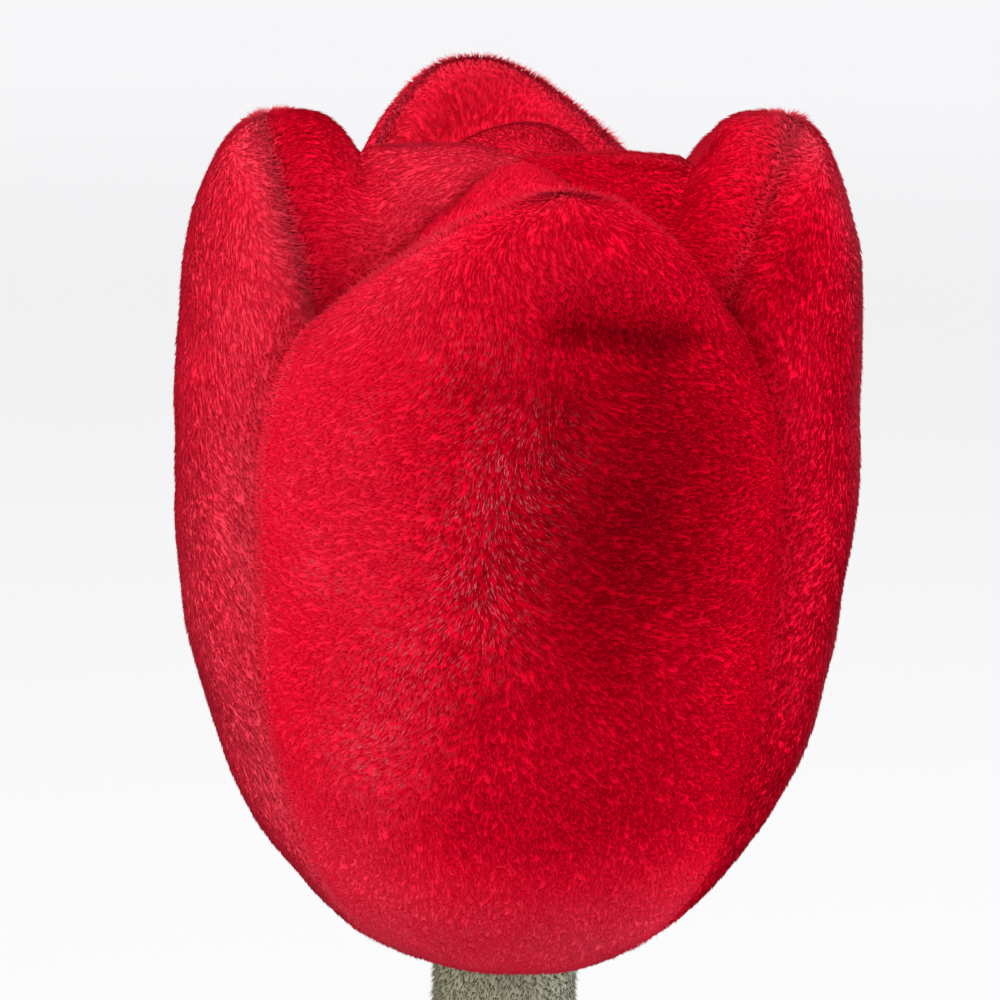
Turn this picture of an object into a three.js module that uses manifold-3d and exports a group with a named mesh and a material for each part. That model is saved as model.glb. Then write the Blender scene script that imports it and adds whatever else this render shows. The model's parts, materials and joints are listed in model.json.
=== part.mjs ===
// A plush tulip in a stuffed fabric pot, at its real size in millimetres, +Z up, the pot's underside at z = 0.
// The bloom is four petals round a ball of fibre. Each petal is an outer and an inner plush panel. They are sewn
// together along a rim that rises to a blunt tip, and to the next petals along four seams that draw the plush in.
// A fabric stem with a firm core carries the bloom. Two padded leaves are sewn to the stem above the soil.
// The pot is a fabric sleeve on a stiffened base. It holds a bag of beads low down and fibre above it, under a
// plush soil disc and a padded cuff. The bloom nods on the neck, the stem sways in the soil and the leaves bend
// at their roots.

import * as THREE from "three";
import { mergeVertices } from "three/addons/utils/BufferGeometryUtils.js";
import Module from "manifold-3d";

const wasm = await Module();
wasm.setup();

// Cloth and fits
const SEAM_GAP = 0.3; // between two pieces that lie against each other
const PETAL_PLUSH = 2.4; // long-pile plush, with its pile pressed down
const STEM_CLOTH = 2.0;
const POT_CLOTH = 3.0;

// Pot
const POT_FOOT_RADIUS = 38;
const POT_BRIM_RADIUS = 44.3;
const POT_SWELL = 1.2; // how far the stuffed wall bows out of a straight taper
const POT_BASE_THICKNESS = 3;
const POT_BASE_ROUNDING = 1.2;
const POT_WALL_TOP_Z = 78;
const BOARD_THICKNESS = 2;
const BOARD_MARGIN = 1.5; // from the board's edge to the wall
const BEAD_BAG_HEIGHT = 21;
const BEAD_BAG_MARGIN = 0.8; // from the bag's fullest line to the wall
const CUFF_PADDING = 5.4; // how far the cuff stands out from the wall
const CUFF_DROP = 19; // from the wall's top down to the cuff's lower edge
const CUFF_RISE = 6.2; // from the wall's top up to the cuff's crown
const CUFF_LIP = 4; // how far the cuff reaches in over the soil's edge
const SOIL_THICKNESS = 6;
const SOIL_CROWN = 2;
const SOIL_RISE = 0.8; // the soil's edge above the wall's top

// Stem and its two soft pivots
const STEM_LENGTH = 94; // from the soil's crown to the bloom
const STEM_FOOT_RADIUS = 10.5;
const STEM_NECK_RADIUS = 9.3;
const SWAY_PIVOT_DEPTH = 2.5; // below the soil's crown
const STEM_HOLE_MARGIN = 0.9; // lets the stem sway in the soil
const NECK_PIVOT_DEPTH = 1; // below the bloom
const FOOT_POCKET_TOP = -30; // degrees below level, where the foot's round pocket narrows to the bore

// Bloom, measured from its lowest point
const BLOOM_RADIUS = 42.2;
const BLOOM_WIDEST_Z = 70;
const BLOOM_UNDERSIDE_Z = 1.5;
const BELLY_POWER = 2.35; // of the superellipse under the widest line
const SHOULDER_POWER = 2.3; // of the one above it
const NECK_OPENING_RADIUS = 10.2;
const SEAM_TOP_Z = 88; // where two petals' rims meet
const SEAM_TOP_RADIUS = 33.5;
const CROWN_Z = 106.7; // where the four inner panels meet
const CROWN_HOLE_RADIUS = 1.2;
const CROWN_FALL_POWER = 1.1;
const CROWN_REACH = 0.3; // share of an inner panel, next to the crown, where its depth turns to straight down
const SEAM_DRAW = 2; // how deep a seam draws the plush in
const SEAM_DRAW_POWER = 6;
const PANEL_PUFF_POWER = 2.4; // of the swell of an inner panel above its seams
const TIP_CREASE = 0.64; // where the tip's inner face starts, as a share of the way to the rim
const TIP_CREASE_SOFTNESS = 1.4; // power by which that face leaves the crease
const THICK_TIP_POWER = 4; // how steeply it then rises, so that the tip is thick and round
const THIN_TIP_POWER = 1.3; // the same on the front petal, which lies flatter
const CORNER_SLACK = 2; // the fibre fills the corners under the seams' upper ends less tightly
const CROWN_SLACK = 0.5; // and so it does at the crown

// The petals' blunt tips, with their height and their distance from the bloom's middle, and the inner panels'
// puff: how far one swells above its seams next to the rim
const FRONT_TIP_Z = 106;
const FRONT_TIP_RADIUS = 31;
const FRONT_PUFF = 6.5;
const RIGHT_TIP_Z = 111;
const RIGHT_TIP_RADIUS = 32.5;
const RIGHT_PUFF = 15.5;
const BACK_TIP_Z = 114;
const BACK_TIP_RADIUS = 31;
const BACK_PUFF = 18;
const LEFT_TIP_Z = 110;
const LEFT_TIP_RADIUS = 31.5;
const LEFT_PUFF = 17;

// One entry for each petal. Its heading and its tip's skew are in degrees, anticlockwise from above. The powers
// give the rim's curve on the clockwise side of the tip and on the other side: the higher, the blunter.
const PETALS = [
  {
    name: "petal_front",
    heading: -90,
    tipZ: FRONT_TIP_Z,
    tipRadius: FRONT_TIP_RADIUS,
    puff: FRONT_PUFF,
    skew: 8,
    rimPowers: [1.55, 2.1],
    facePower: THIN_TIP_POWER,
  },
  {
    name: "petal_right",
    heading: 0,
    tipZ: RIGHT_TIP_Z,
    tipRadius: RIGHT_TIP_RADIUS,
    puff: RIGHT_PUFF,
    skew: -2,
    rimPowers: [2.1, 2.1],
    facePower: THICK_TIP_POWER,
  },
  {
    name: "petal_back",
    heading: 90,
    tipZ: BACK_TIP_Z,
    tipRadius: BACK_TIP_RADIUS,
    puff: BACK_PUFF,
    skew: 11,
    rimPowers: [1.6, 2.6],
    facePower: THICK_TIP_POWER,
  },
  {
    name: "petal_left",
    heading: 180,
    tipZ: LEFT_TIP_Z,
    tipRadius: LEFT_TIP_RADIUS,
    puff: LEFT_PUFF,
    skew: 3,
    rimPowers: [2.1, 2.1],
    facePower: THICK_TIP_POWER,
  },
];
const RIM_RADIUS_POWER = 1.5;

// Leaves, measured from the sway pivot. Both turn a little towards the flower's front.
const RIGHT_LEAF_LENGTH = 74;
const RIGHT_LEAF_HALF_WIDTH = 14;
const LEFT_LEAF_LENGTH = 82;
const LEFT_LEAF_HALF_WIDTH = 15.5;
const LEAVES = [
  { name: "leaf_right", heading: -35, length: RIGHT_LEAF_LENGTH, halfWidth: RIGHT_LEAF_HALF_WIDTH },
  { name: "leaf_left", heading: 210, length: LEFT_LEAF_LENGTH, halfWidth: LEFT_LEAF_HALF_WIDTH },
];
const LEAF_ROOT_RISE = 12.5; // the leaf's pivot above the sway pivot
const LEAF_ROOT_RADIUS = 3.2;
const LEAF_ROOT_HALF_WIDTH = 7.5;
const LEAF_HALF_THICKNESS = 3.6;
const LEAF_EDGE = 0.6; // half the thickness at the sewn edge
const LEAF_LEAN = 12; // degrees from upright at the root
const LEAF_CURL = 36; // degrees more at the tip
const LEAF_CUP_DEPTH = 5; // how far the edges turn towards the stem
const LEAF_WIDEST = 0.42; // share of the length
const LEAF_TIP_POWER = 2.4;
const LEAF_END_SHARE = 0.003; // of the length, left off at each rounded end
const LEAF_TIP_SWELL = 0.12; // share of the length over which the padding thins out at the tip
const WADDING_HALF_THICKNESS = 1.2;
const WADDING_WIDTH_SHARE = 0.66;
const WADDING_START = 0.14; // shares of the leaf's length
const WADDING_END = 0.78;

// Facets
const ROUND_SEGMENTS = 32;
const BALL_STEPS = 5;
const HEAD_STEPS = 3;
const FOOT_STEPS = 3;
const WALL_STEPS = 6;
const FILLING_STEPS = 4;
const BAG_STEPS = 6;
const PETAL_STEPS = 10; // across a petal
const BELLY_ROWS = 7;
const SHOULDER_ROWS = 6;
const CROWN_ROWS = 8;
const CROWN_ROW_POWER = 1.4; // the rows lie closer together near the rim
const LEAF_ROWS = 12;
const LEAF_STEPS = 6;
const LEAF_ROW_POWER = 1.3; // the rows lie closer together near the root
const LEAF_CURVE_STEPS = 24; // in which the curl is added up
const WADDING_ROWS = 7;
const SOIL_RINGS = 4;

// Levels that follow from the sizes above
const boardZ = POT_BASE_THICKNESS + SEAM_GAP;
const beadBagZ = boardZ + BOARD_THICKNESS + SEAM_GAP;
const fillingZ = beadBagZ + BEAD_BAG_HEIGHT + SEAM_GAP;
const soilEdgeZ = POT_WALL_TOP_Z + SOIL_RISE;
const soilFloorZ = soilEdgeZ - SOIL_THICKNESS;
const soilCrownZ = soilEdgeZ + SOIL_CROWN;
const swayPivotZ = soilCrownZ - SWAY_PIVOT_DEPTH;
const bloomZ = soilCrownZ + STEM_LENGTH;
const neckPivotZ = bloomZ - NECK_PIVOT_DEPTH;
const leafPivotZ = swayPivotZ + LEAF_ROOT_RISE;
const rad = THREE.MathUtils.degToRad;
const lerp = THREE.MathUtils.lerp;

// Materials
const red = { color: 0xc8102e, roughness: 0.85, metalness: 0 };
const green = { color: 0x7f8c6d, roughness: 0.9, metalness: 0 };
const cloth = {
  petal: new THREE.MeshStandardMaterial(red),
  stem: new THREE.MeshStandardMaterial(green),
  leaf: new THREE.MeshStandardMaterial({ ...green, color: 0x6f8058 }),
  pot: new THREE.MeshStandardMaterial({ color: 0xb9714a, roughness: 0.9, metalness: 0 }),
  soil: new THREE.MeshStandardMaterial({ color: 0x4a2f22, roughness: 0.95, metalness: 0 }),
  filling: new THREE.MeshStandardMaterial({ color: 0xf2f0ea, roughness: 1, metalness: 0 }),
  beadBag: new THREE.MeshStandardMaterial({ color: 0xd9d4c8, roughness: 0.9, metalness: 0 }),
  board: new THREE.MeshStandardMaterial({ color: 0xe6e6e6, roughness: 0.5, metalness: 0 }),
  core: new THREE.MeshStandardMaterial({ color: 0xcfd3cc, roughness: 0.8, metalness: 0 }),
};

function piece(name, geometry, material) {
  const mesh = new THREE.Mesh(geometry, material);
  mesh.name = name;
  return mesh;
}

// A body of revolution about Z from [radius, z] pairs that start and end on the axis, or close on themselves.
function turned(profile, segments = ROUND_SEGMENTS) {
  const points = profile.map(([radius, z]) => new THREE.Vector2(Math.max(radius, 0), z));
  return new THREE.LatheGeometry(points, segments).rotateX(Math.PI / 2);
}

function toSolid(geometry) {
  const bare = geometry.clone();
  bare.deleteAttribute("normal");
  bare.deleteAttribute("uv");
  const merged = mergeVertices(bare, 1e-3);
  const vertProperties = new Float32Array(merged.attributes.position.array);
  return new wasm.Manifold(
    new wasm.Mesh({ numProp: 3, vertProperties, triVerts: new Uint32Array(merged.index.array) }),
  );
}

function toGeometry(solid) {
  const { vertProperties, triVerts } = solid.getMesh();
  const geometry = new THREE.BufferGeometry();
  geometry.setAttribute("position", new THREE.BufferAttribute(new Float32Array(vertProperties), 3));
  geometry.setIndex(new THREE.BufferAttribute(new Uint32Array(triVerts), 1));
  geometry.computeVertexNormals();
  return geometry;
}

// Cuts one geometry away from another.
function cut(geometry, tool) {
  return toGeometry(toSolid(geometry).subtract(toSolid(tool)));
}

// Points on a quarter or half circle in the profile plane, from one angle to another, in degrees above level.
function arc(centreZ, radius, from, to, steps) {
  return Array.from({ length: steps + 1 }, (_, i) => {
    const angle = rad(lerp(from, to, i / steps));
    return [radius * Math.cos(angle), centreZ + radius * Math.sin(angle)];
  });
}

// A closed geometry from a rectangular net of points on its front and one on its back, joined round the edge.
// The front is seen with its rows running up and its columns to the right.
function closedNet(front, back) {
  const rows = front.length;
  const columns = front[0].length;
  const places = [...front.flat(), ...back.flat()].flatMap((p) => [p.x, p.y, p.z]);
  const at = (side, row, column) => (side * rows + row) * columns + column;
  const index = [];
  const quad = (a, b, c, d) => index.push(a, b, c, a, c, d);
  for (let i = 0; i < rows - 1; i++) {
    for (let j = 0; j < columns - 1; j++) {
      quad(at(0, i, j), at(0, i, j + 1), at(0, i + 1, j + 1), at(0, i + 1, j));
      quad(at(1, i, j), at(1, i + 1, j), at(1, i + 1, j + 1), at(1, i, j + 1));
    }
    quad(at(0, i, 0), at(0, i + 1, 0), at(1, i + 1, 0), at(1, i, 0));
    const last = columns - 1;
    quad(at(0, i, last), at(1, i, last), at(1, i + 1, last), at(0, i + 1, last));
  }
  for (let j = 0; j < columns - 1; j++) {
    const top = rows - 1;
    quad(at(0, 0, j), at(1, 0, j), at(1, 0, j + 1), at(0, 0, j + 1));
    quad(at(0, top, j), at(0, top, j + 1), at(1, top, j + 1), at(1, top, j));
  }
  const geometry = new THREE.BufferGeometry();
  geometry.setAttribute("position", new THREE.Float32BufferAttribute(places, 3));
  geometry.setIndex(index);
  geometry.computeVertexNormals();
  return geometry;
}

// How far a spot lies from the tip towards a seam, 0 to 1. across runs from -1 to 1 over the petal.
function fromTip(petal, across) {
  const tip = petal.skew / 45;
  return Math.abs(across - tip) / (across > tip ? 1 - tip : 1 + tip);
}

function rimRadius(petal, across) {
  return lerp(petal.tipRadius, SEAM_TOP_RADIUS, fromTip(petal, across) ** RIM_RADIUS_POWER);
}

function rimZ(petal, across) {
  const power = petal.rimPowers[across > petal.skew / 45 ? 1 : 0];
  return lerp(petal.tipZ, SEAM_TOP_Z, fromTip(petal, across) ** power);
}

// [radius, z] up the petal's outer panel. Rise runs from 0 at the neck to 1 at the widest line and 2 at the rim.
function outerProfile(petal, across, rise) {
  const widest = BLOOM_RADIUS - SEAM_DRAW * Math.abs(across) ** SEAM_DRAW_POWER;
  if (rise <= 1) {
    const share = 2 / BELLY_POWER;
    const start = Math.asin((NECK_OPENING_RADIUS / BLOOM_RADIUS) ** (1 / share));
    const angle = lerp(start, Math.PI / 2, rise);
    const depth = BLOOM_WIDEST_Z - BLOOM_UNDERSIDE_Z;
    const swell = Math.sin(angle) ** share;
    const drawn = lerp(BLOOM_RADIUS, widest, rise);
    return [drawn * swell, BLOOM_WIDEST_Z - depth * Math.max(Math.cos(angle), 0) ** share];
  }
  const share = 2 / SHOULDER_POWER;
  const angle = ((rise - 1) * Math.PI) / 2;
  const rim = rimRadius(petal, across) + SEAM_GAP / 2;
  return [
    rim + (widest - rim) * Math.max(Math.cos(angle), 0) ** share,
    BLOOM_WIDEST_Z + (rimZ(petal, across) - BLOOM_WIDEST_Z) * Math.sin(angle) ** share,
  ];
}

// [radius, z] of the petal's inner panel: rise runs 2 to 3 from the rim to the crown's middle.
function innerProfile(petal, across, rise) {
  const rim = rimRadius(petal, across) - SEAM_GAP / 2;
  const radius = lerp(rim, CROWN_HOLE_RADIUS, rise - 2);
  const way = radius / rim;
  const puff = petal.puff * (1 - Math.abs(across) ** PANEL_PUFF_POWER);
  const domeZ = CROWN_Z - (CROWN_Z - SEAM_TOP_Z) * way ** CROWN_FALL_POWER + puff * way;
  const upTip = Math.max((way - TIP_CREASE) / (1 - TIP_CREASE), 0);
  const face = 1 - (1 - upTip ** TIP_CREASE_SOFTNESS) ** petal.facePower;
  return [radius, domeZ + (rimZ(petal, across) - SEAM_TOP_Z - puff) * face];
}

// A point on the bloom's skin. The petal's sides stand back from the seam planes by half the gap.
function skinPoint(petal, across, rise, inner) {
  const [radius, z] = (inner ? innerProfile : outerProfile)(petal, across, rise);
  const heading = rad(petal.heading + 45 * across) - (across * SEAM_GAP) / 2 / radius;
  return new THREE.Vector3(radius * Math.cos(heading), radius * Math.sin(heading), z);
}

function skinNormal(petal, across, rise, inner) {
  const step = 1e-3;
  const [low, high] = inner ? [2, 3] : [0, 2];
  const at = (a, r) => skinPoint(petal, a, r, inner);
  const sideways = at(Math.min(across + step, 1), rise).sub(at(Math.max(across - step, -1), rise));
  const upwards = at(across, Math.min(rise + step, high)).sub(at(across, Math.max(rise - step, low)));
  return sideways.cross(upwards).normalize();
}

// The way in from a line where two faces meet: one unit along it goes one unit deep under both faces.
function mitre(a, b) {
  return a.clone().add(b).divideScalar(-1 - a.dot(b));
}

// The way in from a point of the skin: against its normal, or along the mitre at the rim. Next to the crown it
// turns to straight down, where the four panels come together in a point.
function wayIn(petal, across, rise, inner) {
  if (rise !== 2) {
    const nearCrown = inner ? Math.max(1 - (3 - rise) / CROWN_REACH, 0) : 0;
    const down = new THREE.Vector3(0, 0, -1);
    return skinNormal(petal, across, rise, inner).negate().lerp(down, nearCrown).normalize();
  }
  const under = skinNormal(petal, across, outerRises.at(-2), false);
  const over = skinNormal(petal, across, innerRises[1], true);
  return mitre(under, over);
}

const petalColumns = Array.from({ length: PETAL_STEPS + 1 }, (_, i) => (2 * i) / PETAL_STEPS - 1);
const outerRises = [
  ...Array.from({ length: BELLY_ROWS }, (_, i) => i / BELLY_ROWS),
  ...Array.from({ length: SHOULDER_ROWS + 1 }, (_, i) => 1 + i / SHOULDER_ROWS),
];
const innerRises = Array.from(
  { length: CROWN_ROWS + 1 },
  (_, i) => 2 + (i / CROWN_ROWS) ** CROWN_ROW_POWER,
);

function petalPanel(petal, inner) {
  const net = (depth) =>
    (inner ? innerRises : outerRises).map((rise) =>
      petalColumns.map((across) =>
        skinPoint(petal, across, rise, inner).addScaledVector(wayIn(petal, across, rise, inner), depth),
      ),
    );
  return closedNet(net(0), net(PETAL_PLUSH));
}

// How deep the filling's surface lies under the skin.
function fillingDepth(across, rise) {
  const nearRim = Math.max(1 - 2 * Math.abs(rise - 2), 0);
  const nearCrown = Math.max(rise - 2, 0);
  return PETAL_PLUSH + SEAM_GAP + CORNER_SLACK * nearRim * Math.abs(across) ** 4 + CROWN_SLACK * nearCrown;
}

function fillingPoint(petal, across, rise, inner) {
  const way = wayIn(petal, across, rise, inner);
  return skinPoint(petal, across, rise, inner).addScaledVector(way, fillingDepth(across, rise));
}

// A point of the filling's surface in the plane of the seam between a petal and the next one.
function fillingSeamPoint(petal, next, rise, inner) {
  const middle = skinPoint(petal, 1, rise, inner).lerp(skinPoint(next, -1, rise, inner), 0.5);
  const [here, there] = [wayIn(petal, 1, rise, inner), wayIn(next, -1, rise, inner)];
  const share = here.clone().normalize().dot(there.clone().normalize());
  return middle.addScaledVector(here.add(there), fillingDepth(1, rise) / (1 + share));
}

// The fibre inside the petals, with a round socket for the stem's head.
function bloomFilling() {
  const ring = (rise, inner) =>
    PETALS.flatMap((petal, i) => [
      ...petalColumns.slice(1, -1).map((across) => fillingPoint(petal, across, rise, inner)),
      fillingSeamPoint(petal, PETALS[(i + 1) % PETALS.length], rise, inner),
    ]);
  const rings = [
    ...outerRises.map((rise) => ring(rise, false)),
    ...innerRises.slice(1).map((rise) => ring(rise, true)),
  ];
  const around = rings[0].length;
  const places = rings.flat().flatMap((p) => [p.x, p.y, p.z]);
  const index = [];
  for (let i = 0; i < rings.length - 1; i++) {
    for (let j = 0; j < around; j++) {
      const next = (j + 1) % around;
      const [a, b] = [i * around + j, i * around + next];
      index.push(a, b, b + around, a, b + around, a + around);
    }
  }
  for (const [ringNumber, upwards] of [[0, false], [rings.length - 1, true]]) {
    const middle = places.length / 3;
    const height = rings[ringNumber].reduce((sum, p) => sum + p.z / around, 0);
    places.push(0, 0, height);
    for (let j = 0; j < around; j++) {
      const [a, b] = [ringNumber * around + j, ringNumber * around + ((j + 1) % around)];
      index.push(...(upwards ? [a, b, middle] : [b, a, middle]));
    }
  }
  const geometry = new THREE.BufferGeometry();
  geometry.setAttribute("position", new THREE.Float32BufferAttribute(places, 3));
  geometry.setIndex(index);
  const socket = new THREE.SphereGeometry(STEM_NECK_RADIUS + SEAM_GAP, ROUND_SEGMENTS, 2 * BALL_STEPS);
  return cut(geometry, socket.translate(0, 0, -NECK_PIVOT_DEPTH));
}

function bloom() {
  const group = new THREE.Group();
  group.position.z = bloomZ;
  for (const petal of PETALS) {
    group.add(piece(petal.name + "_outer", petalPanel(petal, false), cloth.petal));
    group.add(piece(petal.name + "_inner", petalPanel(petal, true), cloth.petal));
  }
  group.add(piece("bloom_filling", bloomFilling(), cloth.filling));
  return group;
}

// The cover is round about the sway pivot below and the neck pivot above, where the core's head shows.
const coreRadius = STEM_NECK_RADIUS - STEM_CLOTH - SEAM_GAP;
const boreRadius = coreRadius + SEAM_GAP;

// Degrees above level at which the round head has a given radius.
function headAngle(radius) {
  return THREE.MathUtils.radToDeg(Math.acos(radius / STEM_NECK_RADIUS));
}

// The foot's round inside, from its lowest point up to where it meets a bore.
function footInside(ballRadius, bore) {
  return arc(swayPivotZ, ballRadius, -90, FOOT_POCKET_TOP, FOOT_STEPS).map(([radius, z]) => [
    Math.min(radius, bore),
    z,
  ]);
}

function stemCover() {
  return turned([
    ...arc(swayPivotZ, STEM_FOOT_RADIUS, -90, 0, BALL_STEPS),
    ...arc(neckPivotZ, STEM_NECK_RADIUS, 0, headAngle(boreRadius), HEAD_STEPS),
    [boreRadius, swayPivotZ],
    ...footInside(STEM_FOOT_RADIUS - STEM_CLOTH, boreRadius).reverse(),
  ]);
}

function stemCore() {
  return turned([
    ...footInside(STEM_FOOT_RADIUS - STEM_CLOTH - SEAM_GAP, coreRadius),
    [coreRadius, swayPivotZ],
    ...arc(neckPivotZ, STEM_NECK_RADIUS, headAngle(coreRadius), 90, HEAD_STEPS),
  ]);
}

function stem() {
  const group = new THREE.Group();
  group.add(piece("stem_cover", stemCover(), cloth.stem));
  group.add(piece("stem_core", stemCore(), cloth.core));
  return group;
}

// Half the leaf's width at a share of its length.
function leafHalfWidth(leaf, along) {
  if (along < LEAF_WIDEST) {
    const rise = Math.sin((Math.PI / 2) * (along / LEAF_WIDEST));
    return lerp(LEAF_ROOT_HALF_WIDTH, leaf.halfWidth, rise);
  }
  const past = (along - LEAF_WIDEST) / (1 - LEAF_WIDEST);
  return leaf.halfWidth * Math.sqrt(Math.max(1 - past ** LEAF_TIP_POWER, 0));
}

// Half its thickness on the midline: round at the root, thinner towards the tip.
function leafHalfThickness(leaf, along) {
  const fromEnd = along * leaf.length;
  if (fromEnd < LEAF_ROOT_RADIUS) {
    return Math.sqrt(LEAF_ROOT_RADIUS ** 2 - (LEAF_ROOT_RADIUS - fromEnd) ** 2);
  }
  const swell = Math.sin(Math.PI * Math.min(along + LEAF_TIP_SWELL, 1)) ** 0.5;
  return lerp(LEAF_ROOT_RADIUS / 2, LEAF_HALF_THICKNESS, swell);
}

// A point at a height over the leaf's middle surface, which curls outwards and cups the stem. +X is outwards.
function leafPoint(leaf, along, across, height) {
  const lean = (share) => rad(LEAF_LEAN + LEAF_CURL * share ** 2);
  const step = (leaf.length * along) / LEAF_CURVE_STEPS;
  let [x, z] = [-LEAF_ROOT_RADIUS * Math.sin(lean(0)), -LEAF_ROOT_RADIUS * Math.cos(lean(0))];
  for (let i = 0; i < LEAF_CURVE_STEPS; i++) {
    const middle = lean(((i + 0.5) / LEAF_CURVE_STEPS) * along);
    x += Math.sin(middle) * step;
    z += Math.cos(middle) * step;
  }
  const halfWidth = leafHalfWidth(leaf, along);
  const cup = LEAF_CUP_DEPTH * (halfWidth / leaf.halfWidth) ** 2 * across ** 2;
  const outwards = height - cup;
  const angle = lean(along);
  x += outwards * Math.cos(angle);
  z -= outwards * Math.sin(angle);
  return new THREE.Vector3(x, halfWidth * across, z);
}

// The solid between two heights over the middle surface, each a function of the place.
function leafSlab(leaf, alongs, widthShare, low, high) {
  const net = (height) =>
    alongs.map((along) =>
      Array.from({ length: LEAF_STEPS + 1 }, (_, j) => {
        const across = (2 * j) / LEAF_STEPS - 1;
        return leafPoint(leaf, along, across * widthShare, height(along, across));
      }),
    );
  return closedNet(net(high), net(low));
}

function leafPieces(leaf) {
  const alongs = Array.from({ length: LEAF_ROWS + 1 }, (_, i) =>
    lerp(LEAF_END_SHARE, 1 - LEAF_END_SHARE, (i / LEAF_ROWS) ** LEAF_ROW_POWER),
  );
  const rise = (along, across) =>
    SEAM_GAP / 2 + LEAF_EDGE + (leafHalfThickness(leaf, along) - LEAF_EDGE) * Math.sqrt(1 - across ** 2);
  const waddingAlongs = (spare) =>
    Array.from({ length: WADDING_ROWS + 1 }, (_, i) =>
      lerp(WADDING_START - spare / leaf.length, WADDING_END + spare / leaf.length, i / WADDING_ROWS),
    );
  const wadding = (spare) => {
    const share = WADDING_WIDTH_SHARE + spare / leaf.halfWidth;
    const thick = WADDING_HALF_THICKNESS + spare;
    return leafSlab(leaf, waddingAlongs(spare), share, () => -thick, () => thick);
  };
  const recess = wadding(SEAM_GAP);
  const outer = leafSlab(leaf, alongs, 1, () => SEAM_GAP / 2, rise);
  const inner = leafSlab(leaf, alongs, 1, (a, t) => -rise(a, t), () => -SEAM_GAP / 2);
  return [
    piece(leaf.name + "_outer_face", cut(outer, recess), cloth.leaf),
    piece(leaf.name + "_inner_face", cut(inner, recess), cloth.leaf),
    piece(leaf.name + "_wadding", wadding(0), cloth.filling),
  ];
}

// The leaf's round root lies against the stem.
function leafGroup(leaf) {
  const group = new THREE.Group();
  const share = LEAF_ROOT_RISE / (neckPivotZ - swayPivotZ);
  const stemRadius = lerp(STEM_FOOT_RADIUS, STEM_NECK_RADIUS, share);
  const out = stemRadius + SEAM_GAP + LEAF_ROOT_RADIUS;
  const heading = rad(leaf.heading);
  group.position.set(out * Math.cos(heading), out * Math.sin(heading), leafPivotZ);
  group.rotation.z = heading;
  group.add(...leafPieces(leaf));
  return group;
}

// The wall's outer radius at a height: a taper that bows out a little.
function wallRadius(z) {
  const share = (z - boardZ) / (POT_WALL_TOP_Z - boardZ);
  return lerp(POT_FOOT_RADIUS, POT_BRIM_RADIUS, share) + POT_SWELL * Math.sin(Math.PI * share);
}

function wallPoints(from, to, inset, steps) {
  return Array.from({ length: steps + 1 }, (_, i) => {
    const z = lerp(from, to, i / steps);
    return [wallRadius(z) - inset, z];
  });
}

function potSide() {
  const outside = wallPoints(boardZ, POT_WALL_TOP_Z, 0, WALL_STEPS);
  const inside = wallPoints(POT_WALL_TOP_Z, boardZ, POT_CLOTH, WALL_STEPS);
  return turned([...outside, ...inside, outside[0]]);
}

function potBase() {
  const [radius, round, top] = [POT_FOOT_RADIUS, POT_BASE_ROUNDING, POT_BASE_THICKNESS];
  return turned([[0, 0], [radius - round, 0], [radius, round], [radius, top], [0, top]]);
}

function baseBoard() {
  const radius = POT_FOOT_RADIUS - POT_CLOTH - BOARD_MARGIN;
  const top = boardZ + BOARD_THICKNESS;
  return turned([[0, boardZ], [radius, boardZ], [radius, top], [0, top]]);
}

function beadBag() {
  const half = BEAD_BAG_HEIGHT / 2;
  const flatRadius = wallRadius(beadBagZ + half) - POT_CLOTH - BEAD_BAG_MARGIN - half;
  const side = arc(beadBagZ + half, half, -90, 90, BAG_STEPS).map(([out, z]) => [flatRadius + out, z]);
  return turned([[0, beadBagZ], ...side, [0, beadBagZ + BEAD_BAG_HEIGHT]]);
}

function potFilling() {
  const top = soilFloorZ - SEAM_GAP;
  const side = wallPoints(fillingZ, top, POT_CLOTH + SEAM_GAP, FILLING_STEPS);
  const socket = new THREE.SphereGeometry(STEM_FOOT_RADIUS + SEAM_GAP, ROUND_SEGMENTS, 2 * BALL_STEPS);
  const ball = socket.rotateX(Math.PI / 2).translate(0, 0, swayPivotZ);
  return cut(turned([[0, fillingZ], ...side, [0, top]]), ball);
}

const soilRadius = wallRadius(POT_WALL_TOP_Z) - POT_CLOTH - SEAM_GAP;

function soilZ(radius) {
  return soilEdgeZ + SOIL_CROWN * (1 - (radius / soilRadius) ** 2);
}

function soilTop() {
  const hole = STEM_FOOT_RADIUS + STEM_HOLE_MARGIN;
  const crown = Array.from({ length: SOIL_RINGS + 1 }, (_, i) => {
    const radius = lerp(soilRadius, hole, i / SOIL_RINGS);
    return [radius, soilZ(radius)];
  });
  const start = [hole, soilFloorZ];
  return turned([start, [wallRadius(soilFloorZ) - POT_CLOTH - SEAM_GAP, soilFloorZ], ...crown, start]);
}

// The cuff's section: out and up round the padding, over the wall's top to the soil's edge, and down the wall.
function potCuff() {
  const top = POT_WALL_TOP_Z;
  const [low, high] = [top - CUFF_DROP, top + CUFF_RISE];
  const inside = (z) => wallRadius(z) + SEAM_GAP;
  const outside = inside(top) + CUFF_PADDING;
  const lip = wallRadius(top) - CUFF_LIP;
  const round = CUFF_PADDING / 2;
  const seat = soilZ(lip) + SEAM_GAP;
  const start = [inside(low + round), low + round / 2];
  return turned([
    start,
    [outside - round, low],
    [outside - round / 4, low + round / 3],
    [outside, low + round],
    [outside, high - 2 * round],
    [outside - round / 3, high - round],
    [outside - round, high - round / 4],
    [inside(top), high],
    [lip + round / 2, high - round / 2],
    [lip, high - round],
    [lip + round / 3, seat],
    [soilRadius, seat],
    [inside(top), top + SEAM_GAP],
    [inside(top), top - round / 2],
    [inside((low + top) / 2), (low + top) / 2],
    start,
  ]);
}

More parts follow.
